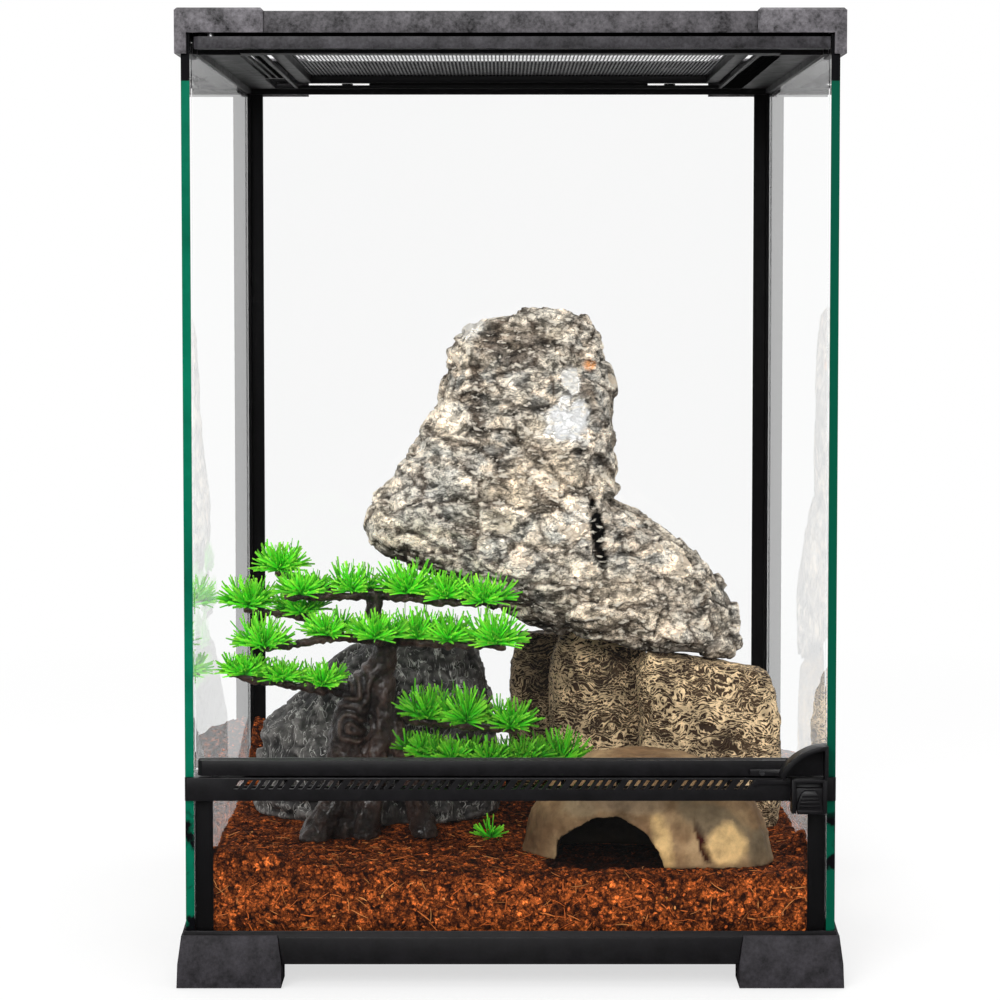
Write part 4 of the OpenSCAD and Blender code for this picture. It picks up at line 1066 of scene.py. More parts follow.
@dataclass
class CraggyStone(Stone):
    """A stone broken into tilted, layered facets."""

    facet_sizes: tuple[float, ...] = (24.0, 10.0)
    facet_tilts: tuple[float, ...] = (0.42, 0.45)
    # painted highlight colour for the edges
    white: Colour = (0.68, 0.61, 0.51)
    # painted shade colour for crevices, seams and undersides
    pit: Colour = (0.045, 0.032, 0.023)
    clean_above: float = 0.6

    def layered(self, spot: Vector) -> Vector:
        """The point in coordinates that lie along the layers, bent a little."""
        bent = spot + noise.noise_vector(spot / 20.0) * 5.0
        turn = math.radians(24.0)
        along = bent.x * math.cos(turn) - bent.z * math.sin(turn)
        across = bent.x * math.sin(turn) + bent.z * math.cos(turn)
        return Vector((along + self.seed, bent.y, across * 1.7))

    def facet(self, spot: Vector, size: float, tilt: float) -> tuple[float, float, float]:
        """The tilted facet that a point lies on.

        Args:
            spot: The point, along the layers, in millimetres.
            size: Size of the facets, in millimetres.
            tilt: How steeply they tilt.

        Returns:
            The height in millimetres, the distance to the next facet as a share of the size, and the facet's tone.
        """
        away, centres = noise.voronoi(spot / size)
        lean = noise.noise_vector(centres[0] * 5.3)
        chance = noise.noise(centres[0] * 9.1)
        high = (spot / size - centres[0]).dot(lean) * size * tilt + chance * size * 0.09
        return high, away[1] - away[0], chance

    def relief(self, spot: Vector) -> float:
        """Height of the facets, their creases and a fine roughness."""
        point = self.layered(spot)
        high = noise.fractal(spot / 3.0, 0.7, 2.0, 3) * self.small
        for size, tilt in zip(self.facet_sizes, self.facet_tilts):
            rise, border, _ = self.facet(point, size, tilt)
            high += rise - max(0.0, 1.0 - border / 0.16) * size * 0.05
        return high

    def colour(self, piece: bpy.types.Object) -> None:
        """Paints facets in their own tones, pale edges as painted highlight, and painted shade in the crevices, along
        the seams and on faces that look downwards.
        """
        spot = plan_mm(points_of(piece))
        no = normals_of(piece)
        near, wide = hollows(piece, 1, 2), hollows(piece, 1, 8)
        layered = [self.layered(Vector(p)) for p in spot]
        large, small = (np.array([self.facet(p, size, 0.0)[1:] for p in layered]).T for size in self.facet_sizes)
        (seam, plane), (border, chance) = large, small
        blotch, ripple = fractal_at(spot, 30.0, 0.9, 4), fractal_at(spot, 7.0)
        first, second, third = (np.array(c) for c in self.colours)
        tone = blend(first, second, np.clip(blotch * 1.8 + 0.5, 0.0, 1.0))
        tone = blend(tone, third, np.clip(chance * 1.6 + blotch * 0.9 - 0.1, 0.0, 0.7))
        tone = tone * ((1.0 + chance * 0.5) * (1.0 + np.clip(plane * 1.1, -0.4, 0.45)))[:, None]
        # painted highlight: pale colour on the ridges and edges
        tone = blend(tone, self.white, np.clip(-near * 2.6 - 0.1 + 0.3 * ripple, 0.0, 0.85))
        tone = self.add_mark_tints(tone, spot, no, ripple, lambda tint: max(tint) < self.clean_above)
        # painted shade: darker in small and broad hollows, at facet borders and along the seams
        dark = np.clip(near * 1.5 - 0.15, 0.0, 0.7) + np.clip(wide * 0.30 - 0.1, 0.0, 0.45)
        dark += np.clip(0.22 - border * 2.4, 0.0, 0.22)
        dark = np.clip(dark + np.clip((0.11 - seam + 0.08 * ripple) * 7.0, 0.0, 0.72), 0.0, 0.9)
        tone = blend(tone, self.pit, dark)
        # painted shade: darker on faces that look downwards
        tone = blend(tone, np.array(self.pit) * 0.6, np.clip(-no[:, 2] * 1.8 - 0.35, 0.0, 0.92))
        tone = self.add_mark_tints(tone, spot, no, ripple, lambda tint: max(tint) >= self.clean_above)
        paint(piece, tone * (1.0 + 0.3 * ripple)[:, None])


# ---------------------------------------------------------------------------------------------
# Sub-assemblies
# ---------------------------------------------------------------------------------------------


@dataclass
class Panes:
    """The fixed panes, with green ground edges at the side panes."""

    edge_nodes: tuple[str, ...] = ("side_glass_left", "side_glass_right")
    plain_nodes: tuple[str, ...] = ("rear_glass", "front_lower_glass", "bottom_glass")

    def build(self) -> None:
        """Makes the side panes and dresses the others."""
        for node in self.edge_nodes:
            self.edged(node)
        for node in self.plain_nodes:
            dress_node(node, GLASS)

    def edged(self, node: str) -> None:
        """A pane whose front and rear edges show green.

        Args:
            node: The solid's name.
        """
        made = copy_node(node, node.replace("glass", "pane"))
        made.data.materials.append(GLASS.material())
        made.data.materials.append(EDGE.material())
        for face in made.data.polygons:
            face.material_index = 1 if abs(face.normal.y) > 0.9 else 0
        dress(made, GLASS, Body.CABINET, Slot.GLASS, [node])


@dataclass
class Mouldings:
    """Base frame, feet, posts, top frame, caps and vent strip."""

    edge: float = 0.35
    foot_edge: float = 0.9
    slot_edge: float = 0.3
    shortest: float = 9.0
    rim: float = 1.2

    def build(self) -> None:
        """Makes each moulding with rounded edges."""
        for node, name, finish in (("base_frame", "base_ring", BLACK), ("top_frame", "top_rails", LIT_BLACK)):
            made = bevelled(node, name, self.edge, finish, Body.CABINET, Slot.BLACK)
            if finish is LIT_BLACK:
                self.paint_inside_shade(made)
        for corner in CORNERS:
            bevelled(f"foot_{corner}", f"corner_foot_{corner}", self.foot_edge, CHARCOAL, Body.CABINET, Slot.CHARCOAL)
            bevelled(f"cap_{corner}", f"corner_cap_{corner}", self.edge, LIT_CAP_BLACK, Body.CABINET, Slot.BLACK)
        bevelled("vent_strip", "vent_rail", self.slot_edge, BLACK, Body.CABINET, Slot.BLACK, self.shortest)
        for post in ("rear_post_left", "rear_post_right", "front_post_left", "front_post_right"):
            bevelled(post, post.replace("post", "angle_post"), self.edge, SHADED_BLACK, Body.CABINET, Slot.BLACK)

    def paint_inside_shade(self, piece: bpy.types.Object) -> None:
        """Gives a ring's inner and lower faces the painted-shade finish, a darker copy of the black plastic.

        Args:
            piece: The ring.
        """
        piece.data.materials.append(SHADED_BLACK.material())
        co = points_of(piece)
        low, high = co.min(axis=0), co.max(axis=0)
        for face in piece.data.polygons:
            middle = face.center
            inset = min(middle.x - low[0], high[0] - middle.x, middle.y - low[1], high[1] - middle.y)
            outer = inset < self.rim * MM or middle.z > high[2] - self.rim * MM
            face.material_index = 0 if outer else 1


@dataclass
class Lid:
    """Lid frame, woven mesh, tabs and port sliders."""

    pitch: float = 2.0
    cross_pitch: float = 9.0
    wire: float = 0.8
    cross_wire: float = 0.5
    level: float = 0.34
    cross_level: float = 0.70
    edge: float = 0.3
    slider_edge: float = 0.2

    def build(self) -> None:
        """Makes the lid's pieces."""
        bevelled("lid_frame", "lid_surround", self.edge, SHADED_BLACK, Body.LID, Slot.BLACK)
        self.mesh()
        for side, body in (("left", Body.TAB_LEFT), ("right", Body.TAB_RIGHT)):
            bevelled(f"lid_lock_{side}", f"lid_tab_{side}", self.edge, BLACK, body, Slot.BLACK)
        for side, body in (("left", Body.PORT_LEFT), ("right", Body.PORT_RIGHT)):
            bevelled(f"port_slider_{side}", f"cable_slider_{side}", self.slider_edge, SHADED_BLACK, body, Slot.BLACK)

    def mesh(self) -> None:
        """Makes the sheet of fine wires: close ones from front to back, and wider spaced ones across."""
        low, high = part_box("lid_mesh")
        size = high - low
        rows = []
        for axis, level, pitch, wide in ((0, self.level, self.pitch, self.wire),
                                         (1, self.cross_level, self.cross_pitch, self.cross_wire)):
            other = 1 - axis
            count = int(size[axis] / (pitch * MM))
            step = (size[axis] - wide * MM) / count
            middle = Vector(((low.x + high.x) / 2, (low.y + high.y) / 2, low.z + size.z * level))
            middle[axis] = low[axis] + wide * MM / 2
            scale = Vector((wide * MM, wide * MM, size.z * 0.3))
            scale[other] = size[other]
            deselect()
            bpy.ops.mesh.primitive_cube_add(size=1.0, location=middle, scale=scale)
            wire = bpy.context.object
            bpy.ops.object.transform_apply(location=True, rotation=True, scale=True)
            offset = [0.0, 0.0, 0.0]
            offset[axis] = step
            modify(wire, "ARRAY", count=count + 1, use_relative_offset=False, use_constant_offset=True,
                   constant_offset_displace=offset)
            rows.append(wire)
        deselect()
        for wire in rows:
            wire.select_set(True)
        bpy.context.view_layer.objects.active = rows[0]
        bpy.ops.object.join()
        rows[0].name = "lid_wire_mesh"
        dress(rows[0], WIRE, Body.LID, Slot.STEEL, ["lid_mesh"])


@dataclass
class Door:
    """The door's rails, pane, pull and pins."""

    edge: float = 0.4
    pull_edge: float = 0.35

    def build(self) -> None:
        """Makes the rails and the pull, and dresses the rest."""
        bevelled("door_top_rail", "door_head", self.edge, HALF_LIT_BLACK, Body.DOOR, Slot.BLACK)
        bevelled("door_bottom_rail", "door_sill", self.edge, BLACK, Body.DOOR, Slot.BLACK)
        bevelled("door_handle", "door_pull", self.pull_edge, BLACK, Body.DOOR, Slot.BLACK)
        dress_node("door_glass", GLASS)
        for node, finish in (("hinge_pin_top", STEEL), ("hinge_pin_bottom", STEEL), ("handle_screw", SCREW)):
            dress_node(node, finish)


@dataclass
class Lock:
    """The lock's housing and thumb slide."""

    edge: float = 0.35

    def build(self) -> None:
        """Makes both pieces."""
        bevelled("lock_housing", "lock_case", self.edge, BLACK, Body.CABINET, Slot.BLACK)
        bevelled("lock_slide", "lock_thumb_slide", self.edge, BLACK, Body.LOCK, Slot.BLACK)


@dataclass
class SoilBed:
    """Bed of coco fibre with loose fibres and chips on it and behind the lower pane."""

    voxel: float = 1.7
    fibres: int = 420
    chips: int = 700
    front_bits: int = 260
    near: float = 7.5
    middle: float = 110.0
    far: float = 292.0
    drop_from: float = 130.0
    behind_pane: tuple[float, float] = (5.0, 5.9)
    dark: Colour = (0.100, 0.019, 0.0035)
    warm: Colour = (0.55, 0.125, 0.024)
    pale: Colour = (0.70, 0.29, 0.085)
    rng: random.Random = field(default_factory=lambda: random.Random(7))

    def build(self) -> None:
        """Makes the bed and what is strewn on it."""
        bed = copy_node("substrate", "coco_bed")
        modify(bed, "REMESH", mode="VOXEL", voxel_size=self.voxel * MM, use_smooth_shade=True)
        self.roughen(bed)
        dress(bed, FIBRE, Body.CABINET, Slot.SOIL, ["substrate"])
        self.strew(bed)

    def roughen(self, bed: bpy.types.Object) -> None:
        """Lumps and fibres in the bed's surface, and its colours, with painted light on its side faces and painted
        shade in the hollows and under the cave hide.

        Args:
            bed: The bed.
        """
        co, no = points_of(bed), normals_of(bed)
        spot = plan_mm(co.copy())
        lump = fractal_at(spot, 11.0, octaves=4)
        strand = np.array([noise.ridged_multi_fractal(Vector((p[0] / 3.2, p[1] / 3.2, p[2] / 1.6)), 0.8, 2.1, 3, 1.0,
                                                      2.0) for p in spot])
        top = np.clip(no[:, 2] * 1.4, 0.0, 1.0)
        high = top * np.tanh(lump * 1.2 + (strand - 1.1) * 1.0) * 1.5 + (1.0 - top) * (strand - 1.6) * 0.45
        low_z = spot[:, 2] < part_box("substrate")[0].z / MM + 1.5
        high[low_z] = 0.0
        set_points(bed, co + no * (high * MM)[:, None])
        tone = blend(np.array(self.dark), self.warm, np.clip((strand - 0.7) * 0.9 + lump * 0.4, 0.0, 1.0))
        # painted light: side faces, mostly the front against the pane, are lighter and warmer
        glow = ((1.0 - top) * 0.75)[:, None]
        tone = tone * (1 - glow * 0.35) + np.array(self.warm) * glow * 0.6
        # painted shade: darker in the hollows
        dark = np.clip(1.0 - np.clip(hollows(bed), 0.0, 2.0) * 0.9, 0.35, 1.0)
        # lighter towards the back
        dark = dark * np.interp(spot[:, 1], (30.0, 120.0), (1.15, 1.30))
        # painted shade: very dark under the cave hide
        dark = np.where(self.sheltered(spot) & (spot[:, 2] > SOIL_TOP / MM - 6.0), dark * 0.12, dark)
        paint(bed, tone * dark[:, None])

    def sheltered(self, spot: np.ndarray) -> np.ndarray:
        """Tells which points lie under the cave hide.

        Args:
            spot: Points as X, depth and Z, in millimetres.

        Returns:
            True for each point under it.
        """
        low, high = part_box("cave_hide")
        x0, x1, y0, y1 = (value / MM for value in (low.x, high.x, low.y - FRONT_Y, high.y - FRONT_Y))
        across = np.abs(spot[:, 0] - (x0 + x1) / 2) / ((x1 - x0) / 2)
        along = (spot[:, 1] - y0) / (y1 - y0)
        return (across < 0.82) & (along > 0.06) & (along < 0.95)

    def strew(self, bed: bpy.types.Object) -> None:
        """Scatters fibres and chips over the bed and against the lower pane.

        Args:
            bed: The bed.
        """
        tree = BVHTree.FromObject(bed, bpy.context.evaluated_depsgraph_get())
        bits = Bits()
        reach = TANK_HALF / MM - 8.0
        for k in range(self.fibres + self.chips):
            x = self.rng.uniform(-reach, reach)
            depth = self.rng.uniform(self.near, self.far if k % 3 else self.middle)
            hit, normal, _, _ = tree.ray_cast(place(x, depth, self.drop_from), Vector((0, 0, -1)))
            if hit is None or self.sheltered(np.array([[x, depth, 0.0]]))[0]:
                continue
            turn = self.rng.uniform(0, 2 * math.pi)
            along = Vector((math.cos(turn), math.sin(turn), self.rng.uniform(-0.15, 0.35)))
            if k < self.fibres:
                bits.fibre(hit + normal * 0.4 * MM, along, normal, self.rng.uniform(3, 10),
                           self.rng.uniform(0.12, 0.26), self.shade(0.5), self.rng)
            else:
                bits.chip(hit + normal * 0.3 * MM, along, normal, self.rng.uniform(0.6, 1.5), self.shade(0.2), self.rng)
        self.front(bits)
        made = bits.piece("loose_fibres")
        dress(made, CHIPS, Body.CABINET, Slot.SOIL)

    def front(self, bits: "Bits") -> None:
        """Adds bits that show behind the lower pane.

        Args:
            bits: The heap of bits to add to.
        """
        reach = TANK_HALF / MM - 9.0
        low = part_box("substrate")[0].z / MM + 1.5
        for k in range(self.front_bits):
            spot = place(self.rng.uniform(-reach, reach), self.rng.uniform(*self.behind_pane),
                         self.rng.uniform(low, SOIL_TOP / MM - 2))
            turn = self.rng.uniform(0, math.pi)
            along = Vector((math.cos(turn), 0.02, math.sin(turn) * 0.7))
            normal = Vector((0, -1, 0))
            if k % 2:
                bits.fibre(spot, along, normal, self.rng.uniform(3, 9), self.rng.uniform(0.14, 0.3), self.shade(0.6),
                           self.rng, bend=0.1)
            else:
                bits.chip(spot, along, normal, self.rng.uniform(0.6, 1.4), self.shade(0.2), self.rng, thick=0.16)

    def shade(self, pale_share: float) -> Colour:
        """A random colour between the dark, the warm and the pale one.

        Args:
            pale_share: How often the pale colour takes part.

        Returns:
            The colour.
        """
        low = self.dark if self.rng.random() < 0.4 else self.warm
        high = self.pale if self.rng.random() < pale_share else self.warm
        share = self.rng.random()
        return tuple(a * (1 - share) + b * share for a, b in zip(low, high))


class Bits:
    """A heap of small fibres, chips and needles that becomes one mesh."""

    def __init__(self) -> None:
        """Starts with nothing."""
        self.points: list[Vector] = []
        self.faces: list[tuple[int, ...]] = []
        self.tints: list[Colour] = []

    def tube(self, path: Sequence[Vector], widths: Sequence[float], side: Vector, tints: Sequence[Colour],
             flat: float = 1.0) -> None:
        """Adds a three-sided closed tube along a path.

        Args:
            path: Points of the path, in metres.
            widths: Radius at each point, in millimetres.
            side: A direction across the path.
            tints: Colour at each point.
            flat: Thickness across the side direction, as a share of the width.
        """
        start = len(self.points)
        for k, (spot, width, tint) in enumerate(zip(path, widths, tints)):
            ahead = (path[min(k + 1, len(path) - 1)] - path[max(k - 1, 0)]).normalized()
            across = ahead.cross(side).normalized()
            other = across.cross(ahead).normalized() * flat
            for n in range(3):
                turn = 2 * math.pi * n / 3
                self.points.append(spot + (across * math.cos(turn) + other * math.sin(turn)) * width * MM)
                self.tints.append(tint)
        rings = len(path)
        for k in range(rings - 1):
            for n in range(3):
                a, b = start + 3 * k + n, start + 3 * k + (n + 1) % 3
                self.faces.append((a, b, b + 3, a + 3))
        self.faces.append((start + 2, start + 1, start))
        last = start + 3 * (rings - 1)
        self.faces.append((last, last + 1, last + 2))

    def fibre(self, spot: Vector, along: Vector, normal: Vector, length: float, width: float, tint: Colour,
              rng: random.Random, bend: float = 0.5) -> None:
        """Adds a bent fibre.

        Args:
            spot: Its middle, in metres.
            along: Its direction.
            normal: The direction that it bends in.
            length: Its length, in millimetres.
            width: Its radius, in millimetres.
            tint: Its colour.
            rng: Source of random numbers.
            bend: How far it bends.
        """
        ahead = along.normalized()
        sideways = ahead.cross(normal).normalized()
        swing, rise = rng.uniform(-0.3, 0.3), rng.uniform(0.0, 0.3) * bend
        path = [spot + (ahead * t + sideways * swing * (t * t - 0.3) + normal * rise * t * t) * length * MM
                for t in (-0.5, -0.17, 0.17, 0.5)]
        self.tube(path, [width * 0.5, width, width, width * 0.5], normal, [tint] * 4)

    def chip(self, spot: Vector, along: Vector, normal: Vector, size: float, tint: Colour, rng: random.Random,
             thick: float = 0.4) -> None:
        """Adds a flat, uneven chip.

        Args:
            spot: Its middle, in metres.
            along: Its long direction.
            normal: Its thin direction.
            size: Its half length, in millimetres.
            tint: Its colour.
            rng: Source of random numbers.
            thick: Its thickness as a share of its length.
        """
        ahead = along.normalized()
        side = ahead.cross(normal).normalized()
        up = side.cross(ahead).normalized()
        start = len(self.points)
        corners = []
        for n in range(5):
            turn = 2 * math.pi * n / 5
            reach = size * rng.uniform(0.6, 1.0)
            corners.append(ahead * math.cos(turn) * reach + side * math.sin(turn) * reach * 0.6)
        for level in (-1, 1):
            for corner in corners:
                lift = level * size * thick * rng.uniform(0.3, 0.5)
                self.points.append(spot + (corner * (0.9 if level > 0 else 1.0) + up * lift) * MM)
                self.tints.append(tuple(c * rng.uniform(0.75, 1.2) for c in tint))
        self.faces.append(tuple(start + n for n in reversed(range(5))))
        self.faces.append(tuple(start + 5 + n for n in range(5)))
        for n in range(5):
            m = (n + 1) % 5
            self.faces.append((start + n, start + m, start + 5 + m, start + 5 + n))

    def piece(self, name: str) -> bpy.types.Object:
        """Turns the heap into a piece.

        Args:
            name: The piece's name.

        Returns:
            The piece.
        """
        mesh = bpy.data.meshes.new(name)
        mesh.from_pydata([p[:] for p in self.points], [], self.faces)
        made = bpy.data.objects.new(name, mesh)
        bpy.context.scene.collection.objects.link(made)
        pick(made)
        bpy.ops.object.mode_set(mode="EDIT")
        bpy.ops.mesh.select_all(action="SELECT")
        bpy.ops.mesh.normals_make_consistent(inside=False)
        bpy.ops.object.mode_set(mode="OBJECT")
        paint(made, np.array(self.tints))
        smooth(made, 60.0)
        return made


@dataclass
class RidgedStone(Stone):
    """A brown boulder whose surface wanders in ridges; the finish adds the fine ones."""

    ridge: float = 0.8
    widen_left: float = 0.0
    widen_right: float = 0.0

    def carve(self, piece: bpy.types.Object) -> None:
        """Adds the relief, and lets the shoulders reach further sideways.

        Args:
            piece: The stone.
        """
        super().carve(piece)
        co = points_of(piece)
        low, high = co.min(axis=0), co.max(axis=0)
        across = (co[:, 0] - (low[0] + high[0]) / 2) / ((high[0] - low[0]) / 2)
        upper = np.clip((co[:, 2] - high[2] + 34 * MM) / (22 * MM), 0.0, 1.0)
        shift = np.where(across > 0, self.widen_right, -self.widen_left) * np.abs(across) ** 0.7 * upper
        co[:, 0] += shift * MM
        set_points(piece, co)

    def relief(self, spot: Vector) -> float:
        """Height with lying, wandering ridges on top of the broad form."""
        bent = spot + noise.noise_vector(spot / 9.0) * 4.0
        lying = noise.noise(Vector((bent.x / 9.0 + self.seed, bent.y / 9.0, bent.z / 3.2)))
        return super().relief(spot) + lying * self.ridge

    def colour(self, piece: bpy.types.Object) -> None:
        """Paints the furrows' colour, with painted shade in the hollows."""
        spot = plan_mm(points_of(piece))
        first, second, _ = (np.array(c) for c in self.colours)
        tone = blend(first, second, np.clip(fractal_at(spot, 18.0, 0.9) * 1.4 + 0.5, 0.0, 1.0))
        # painted shade: darker in the hollows
        dark = np.clip(1.0 - np.clip(hollows(piece, 2, 5), 0.0, 2.0) * self.crease_shade, 0.3, 1.0)
        paint(piece, tone * dark[:, None])


@dataclass
class FacetedStone(CraggyStone):
    """A dark stone in facets; the finish adds its veins."""

    def colour(self, piece: bpy.types.Object) -> None:
        """Paints dark tones, with the third colour as painted highlight on the ridges and painted shade in the
        crevices.
        """
        spot = plan_mm(points_of(piece))
        near = hollows(piece, 1, 2)
        first, second, third = (np.array(c) for c in self.colours)
        tone = blend(first, second, np.clip(fractal_at(spot, 25.0, 0.9, 4) * 1.3 + 0.5, 0.0, 1.0))
        # painted highlight: the third colour on the ridges
        tone = blend(tone, third, np.clip(-near * 1.6, 0.0, 0.6))
        # painted shade: darker in the crevices
        dark = np.clip(1.0 - np.clip(near, 0.0, 2.0) * self.crease_shade, 0.25, 1.0)
        paint(piece, tone * dark[:, None])


@dataclass
class ShelterStone(Stone):
    """The cave hide: painted outside, with painted shade inside."""

    def colour(self, piece: bpy.types.Object) -> None:
        """Paints the outside like a stone and paints shade on the inside."""
        super().colour(piece)
        low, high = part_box(self.node)
        middle = Vector(((low.x + high.x) / 2, (low.y + high.y) / 2, low.z))
        away = points_of(piece) - np.array(middle)
        reach = np.array([(high.x - low.x) / 2, (high.y - low.y) / 2, high.z - low.z])
        inward = np.einsum("ij,ij->i", away / reach, normals_of(piece) * reach) < 0.0
        layer = piece.data.color_attributes[TINT]
        tones = np.empty(len(away) * 4)
        layer.data.foreach_get("color", tones)
        tones = tones.reshape(-1, 4)
        # painted shade: the inside of the cave
        tones[inward, :3] *= 0.05
        layer.data.foreach_set("color", tones.ravel())


@dataclass
class Bonsai:
    """The plastic tree: its wood, and needles on every foot that the solids show."""

    voxel: float = 0.9
    needles: int = 112
    needle_width: float = 0.60
    side_needles: int = 58
    side_light: float = 0.70
    upright: float = 4.0
    spread: float = 80.0
    groups: tuple[str, ...] = ("needles_top", "needles_middle", "needles_lower_left", "needles_lower_right",
                               "needles_bottom")
    base: Colour = (0.014, 0.15, 0.008)
    body: Colour = (0.080, 0.84, 0.020)
    tip: Colour = (0.42, 0.98, 0.065)
    rng: random.Random = field(default_factory=lambda: random.Random(21))

    def build(self) -> None:
        """Makes the wood and the needles."""
        # painted highlight: the third colour goes on the ridges; painted shade: the first mark's near-black tint fills
        # the knot's hollow
        Wood("bonsai_wood", "bonsai_bark", BARK, Slot.BARK,
             ((0.008, 0.004, 0.003), (0.040, 0.020, 0.014), (0.34, 0.22, 0.16)),
             voxel=self.voxel, broad=0.5, middle=0.8, small=0.45, broad_size=8.0, crease_shade=2.4, limit=1.8, seed=3.0,
             marks=(Mark(-83.5, 123, 6, 5, -1.8, (0.01, 0.006, 0.005)), Mark(-84, 134, 8, 5, 1.4),
                    Mark(-80, 104, 7, 4, 1.0), Mark(-66, 160, 5, 6, 0.9))).build()
        for group in self.groups:
            self.foliage(group)

    def foliage(self, node: str) -> None:
        """Makes the needles of one level: a full tuft on each foot, and two darker ones behind it in painted shade; the
        lower levels get painted shade too.

        Args:
            node: The solid's name.
        """
        bits = Bits()
        # painted shade: the lower levels are darker
        light = {"needles_lower_right": 0.72, "needles_bottom": 0.66}.get(node, 1.0)
        for foot, reach, height in tuft_feet(node):
            self.tuft(bits, foot, reach, height, light=light)
            for side in (-1.0, 1.0):
                shift = Vector((side * self.rng.uniform(4.5, 7.5), self.rng.uniform(2.0, 5.5),
                                self.rng.uniform(0.4, 1.8)))
                self.tuft(bits, foot + shift * MM, reach * 0.92, height * 0.95, self.side_needles,
                          self.side_light * light)
        made = bits.piece(node.replace("needles", "foliage"))
        dress(made, NEEDLE, Body.CABINET, Slot.GREEN, [node])

    def tuft(self, bits: Bits, foot: Vector, reach: float, height: float, count: int = 0, light: float = 1.0) -> None:
        """Adds one tuft.

        Args:
            bits: The heap to add to.
            foot: The tuft's lowest point, in metres.
            reach: Its reach sideways, in millimetres.
            height: Its height, in millimetres.
            count: How many needles, or 0 for the usual number.
            light: How light its green is.
        """
        total = count or self.needles
        for k in range(total):
            share = ((k + 0.5) / total) ** 0.62
            tilt = math.radians(self.upright + self.spread * share + self.rng.uniform(-7, 7))
            turn = GOLDEN_ANGLE * k + self.rng.uniform(-0.4, 0.4)
            length = 1 / math.sqrt((math.sin(tilt) / reach) ** 2 + (math.cos(tilt) / height) ** 2)
            length *= self.rng.uniform(0.80, 1.12)
            ahead = Vector((math.sin(tilt) * math.cos(turn), math.sin(tilt) * math.sin(turn), math.cos(tilt)))
            side = ahead.cross(Vector((0.1, 0.2, 1.0))).normalized()
            curl = self.rng.uniform(-0.12, 0.12)
            droop = self.rng.uniform(-0.02, 0.22) * math.sin(tilt)
            start = foot + Vector((self.rng.uniform(-1.8, 1.8), self.rng.uniform(-1.8, 1.8), -0.6)) * MM
            path = [start + (ahead * t + side * (curl * t * t) + Vector((0, 0, -droop * t * t))) * length * MM
                    for t in (0.0, 0.5, 1.0)]
            level = light * self.rng.uniform(0.65, 1.25)
            paler = self.rng.uniform(0.35, 1.0)
            end = tuple(a * (1 - paler) + b * paler for a, b in zip(self.body, self.tip))
            tints = [tuple(c * level for c in tone) for tone in (self.base, self.body, end)]
            width = self.needle_width * self.rng.uniform(0.8, 1.15)
            bits.tube(path, [width * 0.75, width, width * 0.8], side, tints, 0.4)


@dataclass
class Wood(Stone):
    """Gnarled wood with ridges along the trunk, and rings around its knots."""

    knots: Sequence[tuple[float, float, float]] = ((-82.0, 125.0, 11.0), (-77.0, 104.0, 8.0))

    def relief(self, spot: Vector) -> float:
        """Height with upright ridges, and rings around the knots."""
        bent = spot + noise.noise_vector(spot / 12.0) * 4.0
        upright = noise.noise(Vector((bent.x / 3.4, bent.y / 3.4, bent.z / 17.0)))
        high = super().relief(spot) + upright * 1.3
        for x, z, reach in self.knots:
            away = math.hypot((bent.x - x) * 0.8, bent.z - z)
            near = math.exp(-((away / reach) ** 4))
            high = high * (1.0 - near) + near * (1.5 * math.cos(away * 1.45) * -1.0 + 0.4)
        return high


def tuft_feet(node: str) -> list[tuple[Vector, float, float]]:
    """Finds the feet of a node's tufts: the small flat discs that look downwards.

    Args:
        node: The solid's name.

    Returns:
        For each tuft its foot in metres, and its reach and height in millimetres.
    """
    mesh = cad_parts[node].data
    feet: list[Vector] = []
    for face in mesh.polygons:
        if face.normal.z > -0.999 or face.area < 1e-8:
            continue
        near = [f for f in feet if (f - face.center).length < 3.0 * MM]
        if not near:
            feet.append(face.center.copy())
    points = [v.co.copy() for v in mesh.vertices]
    sizes: dict[int, list[float]] = {k: [6.0, 8.0] for k in range(len(feet))}
    for spot in points:
        nearest = min(range(len(feet)), key=lambda k: (feet[k] - spot).length)
        away = spot - feet[nearest]
        flat = Vector((away.x, away.y)).length / MM
        sizes[nearest][0] = max(sizes[nearest][0], min(flat, 16.0))
        sizes[nearest][1] = max(sizes[nearest][1], min(away.z / MM, 20.0))
    return [(feet[k], sizes[k][0], sizes[k][1]) for k in range(len(feet))]


